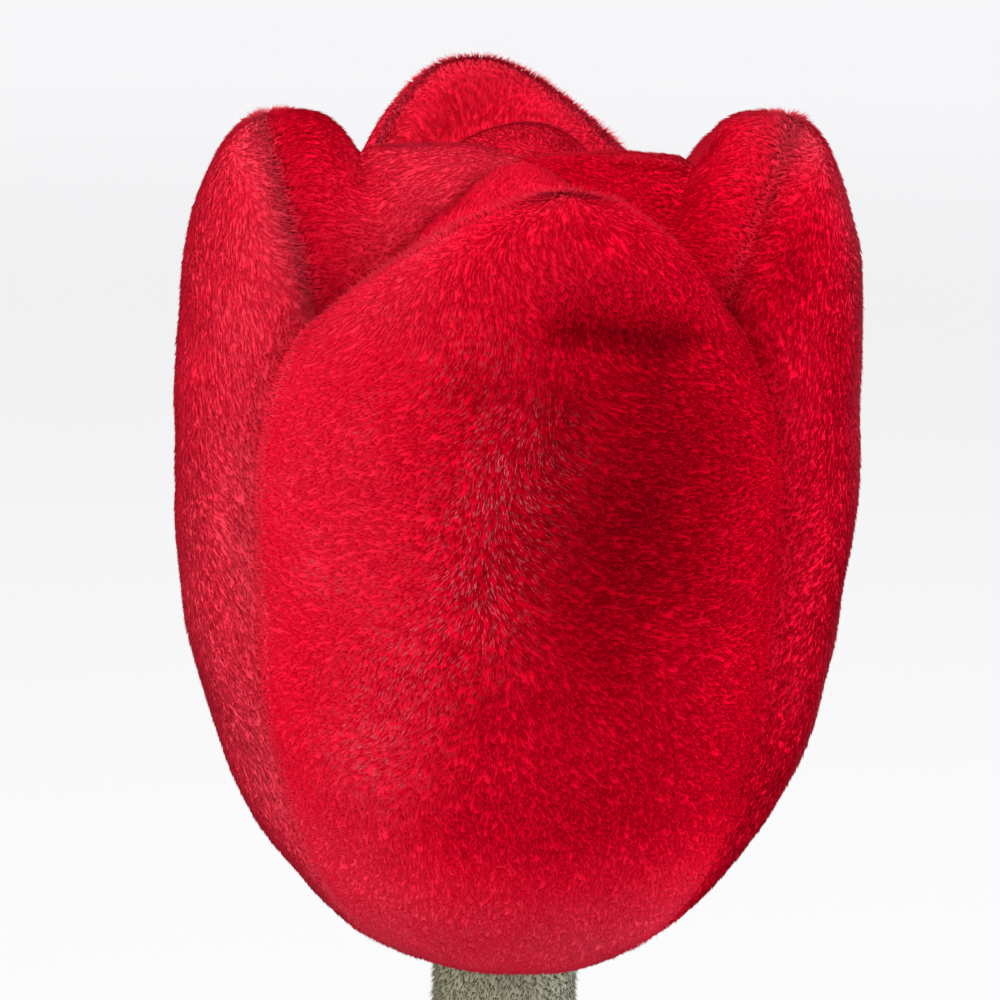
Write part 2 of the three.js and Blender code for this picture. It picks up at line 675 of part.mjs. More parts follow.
function pot() {
  const group = new THREE.Group();
  group.add(
    piece("pot_base", potBase(), cloth.pot),
    piece("base_board", baseBoard(), cloth.board),
    piece("pot_side", potSide(), cloth.pot),
    piece("bead_bag", beadBag(), cloth.beadBag),
    piece("pot_filling", potFilling(), cloth.filling),
    piece("soil_top", soilTop(), cloth.soil),
    piece("pot_cuff", potCuff(), cloth.pot),
  );
  return group;
}

const tulip = new THREE.Group();
tulip.add(pot(), stem(), ...LEAVES.map(leafGroup), bloom());

export default tulip;
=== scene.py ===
# A plush tulip in a stuffed fabric pot. The bloom is sewn from eight panels of red long-pile plush, the stem
# and the two leaves are short-pile plush, the soil is curly boucle plush, and the pot is woven canvas with a
# padded cuff round its brim. Every hair of the pile is a thin closed spike, so that the plush is there in the
# mesh.

import json
import math

import bmesh
import bpy
from mathutils import Matrix, Vector, noise
from mathutils.bvhtree import BVHTree


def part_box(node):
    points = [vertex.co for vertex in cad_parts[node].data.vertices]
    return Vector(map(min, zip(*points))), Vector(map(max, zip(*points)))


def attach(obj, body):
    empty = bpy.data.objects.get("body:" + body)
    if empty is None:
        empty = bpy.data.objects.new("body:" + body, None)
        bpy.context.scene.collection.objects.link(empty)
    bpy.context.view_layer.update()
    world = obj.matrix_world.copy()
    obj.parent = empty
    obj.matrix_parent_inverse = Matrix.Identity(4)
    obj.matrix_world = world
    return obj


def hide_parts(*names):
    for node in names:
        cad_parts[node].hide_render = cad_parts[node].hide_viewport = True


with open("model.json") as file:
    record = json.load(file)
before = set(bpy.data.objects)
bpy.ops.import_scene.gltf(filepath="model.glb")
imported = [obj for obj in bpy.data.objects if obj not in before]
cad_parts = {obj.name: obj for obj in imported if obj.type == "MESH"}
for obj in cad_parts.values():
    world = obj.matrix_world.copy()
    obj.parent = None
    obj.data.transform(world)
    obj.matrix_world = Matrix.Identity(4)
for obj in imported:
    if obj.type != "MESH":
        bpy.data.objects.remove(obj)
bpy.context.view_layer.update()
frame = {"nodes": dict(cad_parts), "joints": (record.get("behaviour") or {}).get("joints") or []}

MM = 0.001


def joint_place(name):
    return Vector(next(joint["pos_m"] for joint in frame["joints"] if joint["name"] == name))


# Sizes taken from the frame
BLOOM_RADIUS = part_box("petal_right_outer")[1].x
BLOOM_UNDERSIDE = 1.5 * MM
BLOOM_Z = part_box("petal_right_outer")[0].z - BLOOM_UNDERSIDE
SWAY_PIVOT = joint_place("stem_sway")
NECK_PIVOT = joint_place("bloom_nod")
POT_FOOT_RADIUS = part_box("pot_base")[1].x
POT_BASE_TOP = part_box("pot_base")[1].z
POT_BRIM_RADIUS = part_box("pot_side")[1].x
POT_WALL_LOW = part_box("pot_side")[0].z
POT_WALL_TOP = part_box("pot_side")[1].z
CUFF_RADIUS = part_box("pot_cuff")[1].x
CUFF_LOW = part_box("pot_cuff")[0].z
CUFF_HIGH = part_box("pot_cuff")[1].z
STEM_FOOT_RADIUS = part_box("stem_cover")[1].x

# Bloom, measured from its lowest point
BLOOM_WIDEST = 70 * MM
BELLY_POWER = 2.35
SHOULDER_POWER = 2.3
NECK_OPENING_RADIUS = 10.2 * MM
SEAM_TOP = 88 * MM  # where two petals' rims meet
SEAM_TOP_RADIUS = 33.5 * MM
CROWN = 106.7 * MM
CROWN_FALL_POWER = 1.1
CROWN_HOLE_RADIUS = 0.4 * MM
SEAM_DRAW = 2 * MM
SEAM_DRAW_POWER = 6
SEAM_GROOVE = 2.4 * MM  # a narrow furrow along each seam, which the pile half hides
SEAM_GROOVE_POWER = 36
PANEL_PUFF_POWER = 2.4
PUFF_RISE_POWER = 1.0
TIP_CREASE = 0.64
TIP_CREASE_SOFTNESS = 1.4
RIM_RADIUS_POWER = 1.5
CROWN_TUFT = 1.6 * MM  # how deep the crossing of the four seams is drawn in
CROWN_TUFT_RADIUS = 5 * MM
EAR_CREASE = 0.9 * MM  # the fold at the foot of a tip's inner face
PLUSH_BACKING = 1.3 * MM
UNDERCOAT = 1.0 * MM  # how far the dense foot of the pile lifts the skin
RIM_ROUNDING = 4.5 * MM  # radius to which the sewn rim is rounded off
RIM_REACH = 6 * MM
FRONT_SPREAD = 4.2  # degrees by which the front and back petals reach round the belly past a quarter turn
SPREAD_TOP = 92 * MM  # height where that has faded away
SPREAD_LOW = 72 * MM
PANEL_REACH = 34 * MM  # up a panel, for one unit of rise

# Heading and skew in degrees, anticlockwise from above. The tip's height and radius and the inner panel's
# puff are in mm. The rim's powers give its curve on the clockwise side of the tip and on the other side: the
# higher, the blunter. The face power says how steeply the tip's inner face rises: the higher, the thicker the
# tip.
PETALS = {
    "front": dict(
        heading=-90, skew=8, tip_z=106, tip_radius=31, rim_powers=(1.55, 2.1), puff=6.5, face_power=1.3
    ),
    "right": dict(
        heading=0, skew=-2, tip_z=111, tip_radius=32.5, rim_powers=(2.1, 2.1), puff=15.5, face_power=4
    ),
    "back": dict(
        heading=90, skew=11, tip_z=114, tip_radius=31, rim_powers=(1.6, 2.6), puff=18, face_power=4
    ),
    "left": dict(
        heading=180, skew=3, tip_z=110, tip_radius=31.5, rim_powers=(2.1, 2.1), puff=17, face_power=4
    ),
}

# Petal pile. Hairs are counted per square mm, and the panels that the list leaves out have the plain count.
PETAL_PILE = 1.15 * MM
PETAL_HAIR_RADIUS = 0.08 * MM
PETAL_HAIRS = {"petal_front_outer": 10.5, "petal_back_outer": 6}
PLAIN_PETAL_HAIRS = 8.7

# Lines on the front panel: how much each one does, where it starts and ends, and how wide it is. A place is
# in mm to the right of the panel's middle and above the bloom's underside, and a fold's lift is in mm too.
FRONT_FOLDS = (
    (-1.7, (7, 93.3), (17, 91.3), 4),
    (0.6, (5, 99), (14, 97), 4),
    (-0.5, (6.5, 103.3), (8.5, 102.3), 1.3),
    (-0.5, (6, 84), (-4, 63), 2.6),
)
# Painted shadows along the parting, under the fold below the tip and in a dent near it: how much darker each
# line paints the pile.
FRONT_PAINTED_SHADOWS = (
    (0.14, (6, 84), (3, 72), 1.6),
    (0.14, (3, 72), (-4, 63), 1.6),
    (0.35, (5, 93.6), (19, 91), 2.6),
    (0.15, (6.5, 103.3), (8.5, 102.3), 0.9),
)
# Painted highlights: where pale pink highlights are painted on the hairs, and how strongly.
FRONT_PAINTED_HIGHLIGHTS = (
    (1.0, (-1, 80), (-6, 60), 6),
    (0.85, (-11, 56), (-16, 42), 6),
    (0.5, (-4, 91), (-8, 88), 4),
)

# What swells sewn cloth: the filling's pressure, and by which share the cloth is larger than its outline
FILLING_PRESSURE = 3
CANVAS_GROWTH = 0.06
LEAF_GROWTH = 0.05


def mix(a, b, share):
    return a + (b - a) * share


def clamp(value, low=0.0, high=1.0):
    return max(low, min(high, value))


def smooth_step(low, high, value):
    share = clamp((value - low) / (high - low))
    return share * share * (3 - 2 * share)


def fade(distance, width):
    """1 on a line or a spot and fading to 0 beside it, as a soft furrow does."""
    return math.exp(-((distance / width) ** 2))


def round_spot(angle, radius, height):
    return Vector((radius * math.cos(angle), radius * math.sin(angle), height))


def angle_at(u):
    """The angle at a share of the way round the stem or the pot, whose seams run up the back."""
    return math.radians(90) + 2 * math.pi * u


def from_seam(u, radius):
    return min(u, 1 - u) * 2 * math.pi * radius


def drift(place, size, seed=0.0):
    """Smooth noise from -1 to 1 with features of a given size."""
    return noise.noise(place / size + Vector((seed, seed * 1.7, -seed)))


def from_tip(petal, across):
    tip = petal["skew"] / 45
    return abs(across - tip) / (1 - tip if across > tip else 1 + tip)


def rim_radius(petal, across):
    return mix(petal["tip_radius"] * MM, SEAM_TOP_RADIUS, from_tip(petal, across) ** RIM_RADIUS_POWER)


def rim_height(petal, across):
    power = petal["rim_powers"][across > petal["skew"] / 45]
    return mix(petal["tip_z"] * MM, SEAM_TOP, from_tip(petal, across) ** power)


def outer_profile(petal, across, rise):
    """Radius and height up the outer panel: rise is 0 at the neck, 1 at the widest line and 2 at the rim."""
    drawn = SEAM_DRAW * abs(across) ** SEAM_DRAW_POWER + SEAM_GROOVE * abs(across) ** SEAM_GROOVE_POWER
    widest = BLOOM_RADIUS - drawn
    if rise <= 1:
        share = 2 / BELLY_POWER
        start = math.asin((NECK_OPENING_RADIUS / BLOOM_RADIUS) ** (1 / share))
        angle = mix(start, math.pi / 2, rise)
        radius = mix(BLOOM_RADIUS, widest, rise) * math.sin(angle) ** share
        return radius, BLOOM_WIDEST - (BLOOM_WIDEST - BLOOM_UNDERSIDE) * max(math.cos(angle), 0) ** share
    share = 2 / SHOULDER_POWER
    angle = (rise - 1) * math.pi / 2
    rim = rim_radius(petal, across)
    radius = rim + (widest - rim) * max(math.cos(angle), 0) ** share
    return radius, BLOOM_WIDEST + (rim_height(petal, across) - BLOOM_WIDEST) * math.sin(angle) ** share


def inner_profile(petal, across, rise):
    """Radius and height over the inner panel: rise is 2 at the rim and 3 at the crown's middle."""
    rim = rim_radius(petal, across)
    radius = mix(rim, CROWN_HOLE_RADIUS, rise - 2)
    way = radius / rim
    puff = petal["puff"] * MM * (1 - abs(across) ** PANEL_PUFF_POWER)

    dome = CROWN - (CROWN - SEAM_TOP) * way**CROWN_FALL_POWER + puff * way**PUFF_RISE_POWER
    up_tip = max((way - TIP_CREASE) / (1 - TIP_CREASE), 0)
    face = 1 - (1 - up_tip**TIP_CREASE_SOFTNESS) ** petal["face_power"]
    tip = (rim_height(petal, across) - SEAM_TOP - puff) * face
    furrow = SEAM_GROOVE * abs(across) ** SEAM_GROOVE_POWER
    furrow *= smooth_step(0, 0.1, 1 - way) * smooth_step(0, 0.3, way)
    tuft = CROWN_TUFT * fade(radius, CROWN_TUFT_RADIUS)
    crease = EAR_CREASE * (1 - across**4) * fade(way - TIP_CREASE - 0.03, 0.06)
    return radius, dome + tip - furrow - tuft - crease


def skin_point(petal, across, rise, inner):
    radius, height = (inner_profile if inner else outer_profile)(petal, across, rise)
    even = petal["heading"] + 45 * across
    spread = FRONT_SPREAD * (1 - smooth_step(SPREAD_LOW, SPREAD_TOP, height))
    heading = math.radians(even + spread * math.sin(2 * math.radians(even + 90)))
    return round_spot(heading, radius, BLOOM_Z + height)


def skin_frame(petal, across, rise, inner):
    """The directions across the panel, up the panel and out of it."""
    step = 1e-3
    low, high = (2, 3) if inner else (0, 2)
    left = skin_point(petal, max(across - step, -1), rise, inner)
    right = skin_point(petal, min(across + step, 1), rise, inner)
    below = skin_point(petal, across, max(rise - step, low), inner)
    above = skin_point(petal, across, min(rise + step, high), inner)
    sideways = (right - left).normalized()
    upwards = (above - below).normalized()
    return sideways, upwards, sideways.cross(upwards).normalized()


def rim_way(petal, across):
    """The way out of the bloom between the two panels at the rim, and how far its rounding pulls the skin
    in."""
    under = skin_frame(petal, across, 2 - 0.02, False)[2]
    over = skin_frame(petal, across, 2 + 0.02, True)[2]
    half_turn = under.angle(over) / 2
    return (under + over).normalized(), RIM_ROUNDING * (1 / math.cos(half_turn) - 1)


def near_line(x, height, start, end, width):
    """1 on the line from start to end, given as (x, height) on the front panel, fading to 0 beside it."""
    along = Vector(end) - Vector(start)
    to_spot = Vector((x, height)) - Vector(start)
    share = clamp(to_spot.dot(along) / along.length_squared)
    return fade((to_spot - along * share).length, width)


def front_place(place):
    """Where a spot of the front panel lies: mm to the right of the middle, and mm above the bloom's
    underside."""
    return place.x / MM, (place.z - BLOOM_Z) / MM


def petal_lumps(name, place, across, rise):
    """How the filling's lumps and the folds move a panel. Its sewn edges stay where they are."""
    held = (1 - abs(across) ** 8) * smooth_step(0, 0.25, abs(rise - 2)) * smooth_step(0, 0.3, 3 - rise)
    lumps = 0.75 * drift(place, 15 * MM, 3) + 0.3 * drift(place, 6 * MM, 8)
    if rise > 2:
        lumps += 0.7 * drift(place, 8 * MM, 12)
    puckers = 0.35 * drift(place, 2.6 * MM, 14) * smooth_step(0.75, 0.93, abs(across))
    if name == "petal_front_outer":
        x, height = front_place(place)
        lumps += sum(lift * near_line(x, height, *line) for lift, *line in FRONT_FOLDS)
    return MM * (held * lumps + (1 - abs(across) ** 30) * puckers * smooth_step(0, 0.3, 3 - rise))


def petal_nap(name, petal, across, rise, place):
    """Which way the pile is brushed: degrees from straight down, towards the panel's right edge. On an outer
    panel it turns round near the rim, so that it runs up and over it."""
    swirl = 30 * drift(place, 14 * MM, 21) + 20 * drift(place, 5 * MM, 5)
    if rise > 2:
        return swirl
    spread = mix(20, 72, smooth_step(0.1, 0.9, rise))
    if name == "petal_front_outer":
        x, height = front_place(place)
        parting = mix(-4, 6, clamp((height - 63) / 23))
        window = smooth_step(52, 62, height) * (1 - smooth_step(84, 94, height))
        swirl += 38 * window * (smooth_step(-1.5, 1.5, x - parting) - smooth_step(3, 14, parting - x))
        swirl += 14 * math.sin((height - 66) / 9) * near_line(x, height, (-6, 78), (-5, 58), 6)
    from_rim = abs(rise - 2) * PANEL_REACH
    side = clamp((across - petal["skew"] / 45) / 0.25, -1)
    over_rim = side * (180 - 45 * min(from_tip(petal, across) / 0.6, 1))
    down = spread * math.copysign(abs(across) ** 0.7, across)
    return mix(over_rim, down, smooth_step(2 * MM, 12 * MM, from_rim)) + swirl


def petal_painted_light(name, place, across, rise):
    """How much light and shade is painted into the pile's colour: painted shade where one looks down into the
    pile, beside a parting, under a fold and deep in a seam, and painted light along a rim, where the hairs
    stand up, on the lit sides and low down. Only the first slow noise is tone that differs at random."""
    # Slow noise: tone that differs at random.
    shade = 1 + 0.1 * drift(place, 20 * MM, 33) + 0.08 * drift(place, 7 * MM, 34)
    # Painted shade deep in each seam.
    shade *= 1 - 0.65 * smooth_step(0.962, 0.985, abs(across) + 0.008 * drift(place, 2.5 * MM, 35))
    # Painted light along the rims.
    from_rim = abs(rise - 2) * PANEL_REACH
    rim_band, rim_line = smooth_step(1 * MM, 8 * MM, from_rim), smooth_step(0.5 * MM, 2.5 * MM, from_rim)
    shade *= 1 + 0.2 * (1 - rim_band) + 0.3 * (1 - rim_line)
    # Painted shade on the right tip's inner face towards the front and in a crease there, painted light
    # further back.
    if name == "petal_right_inner":
        forwards = smooth_step(0.1, -0.7, across)
        crease = near_line(across, rise, (-0.2, 2.25), (-0.35, 2.6), 0.08)
        return shade * mix(1.3, 0.7, forwards) * (1 - 0.3 * crease)
    # Painted shade on the left tip's inner face, painted light on the dome beside it.
    if name == "petal_left_inner":
        return shade * mix(0.72, 1.35, smooth_step(-27 * MM, -15 * MM, place.x))
    # Painted light on the other inner panels.
    if rise > 2:
        return shade * 1.1
    # Painted light on the left panel, most of all low down.
    if name == "petal_left_outer":
        shade *= 1.3 + 0.25 * (1 - smooth_step(0.6, 1.3, rise))
    # Painted light on the right panel's far side, painted shade near its front seam and up its tip.
    if name == "petal_right_outer":
        shade *= mix(0.84, 1.8, smooth_step(-20 * MM, -4 * MM, place.y))
        shade *= 1 - 0.2 * smooth_step(1.4, 1.8, rise)
    if name == "petal_front_outer":
        x, height = front_place(place)
        # Painted light in a band beside the front panel's left seam, low down, near the top and on the left;
        # painted shade in its right corner under the rim, across its middle and right side, and along its
        # folds and parting.
        band = smooth_step(0.87, 0.91, abs(across)) * (1 - smooth_step(0.94, 0.96, abs(across)))
        shade *= 1 + 0.35 * band * (across < 0)
        shade *= 1 - 0.5 * smooth_step(0.93, 1, across) * (1 - smooth_step(1 * MM, 4 * MM, from_rim))
        shade *= mix(1, 0.8, smooth_step(-20, -4, x) * smooth_step(14, 34, height))
        shade *= 1 - 0.34 * fade(x - 10, 15) * fade(height - 73, 21)
        shade *= 1 - 0.12 * smooth_step(2, 16, x) * smooth_step(20, 40, height)
        for loss, *line in FRONT_PAINTED_SHADOWS:
            shade *= 1 - loss * near_line(x, height, *line)
        shade *= 1 + 0.5 * (1 - smooth_step(8, 34, height))
        shade *= 1 + 0.2 * smooth_step(84, 98, height) + 0.1 * smooth_step(-4, -16, x)
    return shade


def petal_place(name, petal, across, rise, inner):
    spot = skin_point(petal, across, rise, inner)
    out = skin_frame(petal, across, rise, inner)[2]
    from_rim = abs(rise - 2) * PANEL_REACH
    at_rim = 1 - smooth_step(0, RIM_REACH, from_rim)
    way, depth = rim_way(petal, across)
    lifted = out.lerp(way, at_rim).normalized() * (UNDERCOAT + petal_lumps(name, spot, across, rise))
    return spot + lifted - way * depth * at_rim


def petal_comb(name, petal, across, rise, inner, spot, out):
    """A hair's direction: the brushed nap. It stands up a little along the rim. At a seam it hangs over from
    the front panel, and on the other panels it runs along the seam."""
    sideways, upwards, _ = skin_frame(petal, across, rise, inner)
    from_rim = abs(rise - 2) * PANEL_REACH
    at_rim = 1 - smooth_step(0, 4 * MM, from_rim)
    at_seam = smooth_step(0.84, 0.98, abs(across))
    angle = petal_nap(name, petal, across, rise, spot)
    lean = mix(75, 45, at_rim)
    if name == "petal_front_outer":
        lean = mix(lean, 42, at_seam)
    else:
        angle *= 1 - 0.85 * at_seam
        lean = mix(lean, 56, at_seam)
    away = upwards if inner else -upwards
    angle, lean = math.radians(angle), math.radians(lean)
    brushed = away * math.cos(angle) + sideways * math.sin(angle)
    upright = out.lerp(rim_way(petal, across)[0], at_rim).normalized()
    return upright * math.cos(lean) + brushed * math.sin(lean)


def node(tree, kind, settings=(), links=()):
    """Adds one node, sets its properties, and fills or links its sockets. A node given for a socket stands
    for its first output."""
    made = tree.nodes.new(kind)
    for name, value in dict(settings).items():
        setattr(made, name, value)
    for socket, value in dict(links).items():
        if isinstance(value, bpy.types.Node):
            value = value.outputs[0]
        if isinstance(value, bpy.types.NodeSocket):
            tree.links.new(value, made.inputs[socket])
        else:
            made.inputs[socket].default_value = value
    return made


def linear(code):
    """An sRGB hex colour as linear RGBA."""
    shares = [int(code[i : i + 2], 16) / 255 for i in (1, 3, 5)]
    return [s / 12.92 if s <= 0.04045 else ((s + 0.055) / 1.055) ** 2.4 for s in shares] + [1.0]


def fresh_material(name):
    """A new material, and its node tree with nothing in it."""
    material = bpy.data.materials.new(name)
    material.use_nodes = True
    material.node_tree.nodes.clear()
    return material, material.node_tree


def placed(name, data):
    """A new object in the scene, with a mesh, a camera or a lamp for its data."""
    made = bpy.data.objects.new(name, data)
    bpy.context.scene.collection.objects.link(made)
    return made


def object_of(name, bm):
    mesh = bpy.data.meshes.new(name)
    bm.to_mesh(mesh)
    return placed(name, mesh)


def evaluated_mesh(piece):
    return bpy.data.meshes.new_from_object(piece.evaluated_get(bpy.context.evaluated_depsgraph_get()))


def settled(source, name):
    """A new object with the mesh that an object's modifiers make of it. The object itself goes."""
    mesh = evaluated_mesh(source)
    bpy.data.objects.remove(source)
    return placed(name, mesh)


def smooth_faces(bm):
    for face in bm.faces:
        face.smooth = True


def strand(name, bm):
    """A hair or a curl to grow as pile. Its corners know their share of the way up, and it is in no scene."""
    along = bm.verts.layers.float.new("along")
    for corner in bm.verts:
        corner[along] = clamp(corner.co.z)
    smooth_faces(bm)
    mesh = bpy.data.meshes.new(name)
    bm.to_mesh(mesh)
    bm.free()
    return bpy.data.objects.new(name, mesh)


def pile_normal(tree, share):
    """The direction by which pile is lit: the hair's own, mixed with that of the skin it grows on."""
    skin = node(tree, "ShaderNodeAttribute", {"attribute_name": "skin"})
    turned = node(
        tree,
        "ShaderNodeVectorTransform",
        {"vector_type": "NORMAL", "convert_from": "OBJECT", "convert_to": "WORLD"},
        {"Vector": skin.outputs["Vector"]},
    )
    own = node(tree, "ShaderNodeNewGeometry")
    both = node(
        tree,
        "ShaderNodeMix",
        {"data_type": "VECTOR"},
        {"Factor": share, 4: own.outputs["Normal"], 5: turned},
    )
    return node(tree, "ShaderNodeVectorMath", {"operation": "NORMALIZE"}, {0: both.outputs[1]})


def uneven(tree, tone, patches, most, low, high):
    """A level from low to high that differs from hair to hair and from patch to patch of the nap."""
    both = node(tree, "ShaderNodeMath", {"operation": "ADD"}, {0: tone, 1: patches.outputs["Fac"]})
    return node(
        tree,
        "ShaderNodeMapRange",
        {},
        {"Value": both, "From Min": 0.2, "From Max": most, "To Min": low, "To Max": high},
    )


def pile_colour_with_painted_shade(tree, patches, deep, colour, pale, most, low, high):
    """The colour of pile from deep at its foot, painted shade down in the pile, to pale at its ends and on
    the backing, painted light, at an uneven level from low to high.
    """
    along = node(tree, "ShaderNodeAttribute", {"attribute_name": "along"}).outputs["Fac"]
    tone = node(tree, "ShaderNodeAttribute", {"attribute_name": "tone"}).outputs["Fac"]
    ramp = node(tree, "ShaderNodeValToRGB", {}, {"Fac": along})
    steps = ramp.color_ramp.elements
    steps[0].color = linear(deep)
    steps[1].color = linear(pale)
    steps.new(0.4).color = linear(colour)
    level = uneven(tree, tone, patches, most, low, high)
    return node(
        tree, "ShaderNodeVectorMath", {"operation": "SCALE"}, {0: ramp.outputs["Color"], "Scale": level}
    )


def hair():
    """One hair: a closed three-sided spike, one unit high and one in radius, that knows its share of the way
    up. One of its sides looks along Y, which is turned outwards where it grows, so that the pile catches the
    light evenly."""
    bm = bmesh.new()
    bmesh.ops.create_cone(bm, cap_ends=True, segments=3, radius1=1, radius2=0, depth=1)
    bmesh.ops.remove_doubles(bm, verts=bm.verts, dist=1e-4)
    bmesh.ops.translate(bm, verts=bm.verts, vec=(0, 0, 0.5))
    bmesh.ops.rotate(bm, verts=bm.verts, cent=(0, 0, 0), matrix=Matrix.Rotation(math.pi, 3, "Z"))
    return strand("hair", bm)


def pile_tree(item, per_mm2, radius, stray, lock, twist, seed):
    """The way pile grows on a sheet whose corners carry a hair direction, a hair length and a cover share."""
    tree = bpy.data.node_groups.new("pile", "GeometryNodeTree")
    tree.interface.new_socket("Geometry", in_out="INPUT", socket_type="NodeSocketGeometry")
    tree.interface.new_socket("Geometry", in_out="OUTPUT", socket_type="NodeSocketGeometry")
    entry = node(tree, "NodeGroupInput")
    cover = node(tree, "GeometryNodeInputNamedAttribute", {"data_type": "FLOAT"}, {"Name": "cover"})
    density = node(tree, "ShaderNodeMath", {"operation": "MULTIPLY"}, {0: cover, 1: per_mm2 / MM**2})
    roots = node(
        tree,
        "GeometryNodeDistributePointsOnFaces",
        {"distribute_method": "RANDOM"},
        {"Mesh": entry, "Density": density, "Seed": seed},
    )
    way = node(tree, "GeometryNodeInputNamedAttribute", {"data_type": "FLOAT_VECTOR"}, {"Name": "way"})
    locks = node(tree, "ShaderNodeTexNoise", {}, {"Scale": 1 / (1.1 * MM), "Detail": 1.0})
    centred = node(
        tree,
        "ShaderNodeVectorMath",
        {"operation": "SUBTRACT"},
        {0: locks.outputs["Color"], 1: (0.5, 0.5, 0.5)},
    )
    locked = node(
        tree,
        "ShaderNodeVectorMath",
        {"operation": "MULTIPLY_ADD"},
        {0: centred, 1: (lock, lock, lock), 2: way},
    )
    jitter = node(
        tree,
        "FunctionNodeRandomValue",
        {"data_type": "FLOAT_VECTOR"},
        {0: (-stray, -stray, -stray), 1: (stray, stray, stray), "Seed": seed + 1},
    )
    aim = node(tree, "ShaderNodeVectorMath", {"operation": "ADD"}, {0: locked, 1: jitter})
    turn = node(tree, "FunctionNodeAlignRotationToVector", {"axis": "Z"}, {"Vector": aim})
    outwards = node(
        tree,
        "FunctionNodeAlignRotationToVector",
        {"axis": "Y", "pivot_axis": "Z"},
        {"Rotation": turn, "Vector": roots.outputs["Normal"]},
    )
    spin = node(
        tree,
        "FunctionNodeRandomValue",
        {"data_type": "FLOAT_VECTOR"},
        {0: (0, 0, -twist), 1: (0, 0, twist), "Seed": seed + 4},
    )
    facing = node(tree, "FunctionNodeRotateRotation", {"rotation_space": "LOCAL"}, {0: outwards, 1: spin})
    length = node(tree, "GeometryNodeInputNamedAttribute", {"data_type": "FLOAT"}, {"Name": "length"})
    spread = node(
        tree, "FunctionNodeRandomValue", {"data_type": "FLOAT"}, {2: 0.65, 3: 1.15, "Seed": seed + 2}
    )
    tall = node(tree, "ShaderNodeMath", {"operation": "MULTIPLY"}, {0: length, 1: spread.outputs[1]})
    size = node(tree, "ShaderNodeCombineXYZ", {}, {"X": radius, "Y": radius, "Z": tall})
    source = node(tree, "GeometryNodeObjectInfo", {}, {"Object": item})
    hairs = node(
        tree,
        "GeometryNodeInstanceOnPoints",
        {},
        {"Points": roots, "Instance": source.outputs["Geometry"], "Rotation": facing, "Scale": size},
    )
    tone = node(tree, "FunctionNodeRandomValue", {"data_type": "FLOAT"}, {2: 0.0, 3: 1.0, "Seed": seed + 3})
    toned = node(
        tree,
        "GeometryNodeStoreNamedAttribute",
        {"data_type": "FLOAT", "domain": "INSTANCE"},
        {"Geometry": hairs, "Name": "tone", "Value": tone.outputs[1]},
    )
    skinned = node(
        tree,
        "GeometryNodeStoreNamedAttribute",
        {"data_type": "FLOAT_VECTOR", "domain": "INSTANCE"},
        {"Geometry": toned, "Name": "skin", "Value": roots.outputs["Normal"]},
    )
    real = node(tree, "GeometryNodeRealizeInstances", {}, {0: skinned})
    node(tree, "NodeGroupOutput", {}, {0: real})
    return tree


def grown_pile(sheet, **facts):
    """An object with the pile that grows on a sheet object. The sheet goes."""
    tree = pile_tree(**facts)
    sheet.modifiers.new("pile", "NODES").node_group = tree
    grown = settled(sheet, sheet.name + "_pile")
    bpy.data.node_groups.remove(tree)
    return grown


def sheet_of(columns, rows, place, comb, around=False, closed=False, sewn=None):
    """A net of faces. place(u, v) gives its corners, for u and v from 0 to 1, and comb(u, v, spot, out) gives
    the hairs' direction there, their length, how thickly they grow, how much pale highlight is painted on
    them and how much light and shade is painted into their colour. A sheet that goes around is sewn shut
    where u ends, and a closed one also where v ends. sewn(u, v) is 1 where a seam holds the cloth."""
    bm = bmesh.new()
    bm.loops.layers.uv.new("UVMap")
    way = bm.verts.layers.float_vector.new("way")
    length = bm.verts.layers.float.new("length")
    cover = bm.verts.layers.float.new("cover")
    gloss = bm.verts.layers.float.new("gloss")
    # The shade layer carries painted light and shade.
    shade = bm.verts.layers.float.new("shade")
    skin = bm.verts.layers.float_vector.new("skin")
    held = bm.verts.layers.float.new("held")
    bmesh.ops.create_grid(bm, x_segments=columns, y_segments=rows, size=1, calc_uvs=True)
    shares = [((corner.co.x + 1) / 2, (corner.co.y + 1) / 2) for corner in bm.verts]
    for corner, (u, v) in zip(bm.verts, shares):
        corner.co = place(u % 1 if around else u, v % 1 if closed else v)
    bm.normal_update()
    for corner, (u, v) in zip(bm.verts, shares):
        facts = comb(u, v, corner.co, corner.normal)
        corner[way], corner[length], corner[cover], corner[gloss], corner[shade] = facts
        corner[skin] = corner.normal
        corner[held] = sewn(u, v) if sewn else 0
    if around:
        bmesh.ops.remove_doubles(bm, verts=bm.verts, dist=0.002 * MM)
    smooth_faces(bm)
    return bm


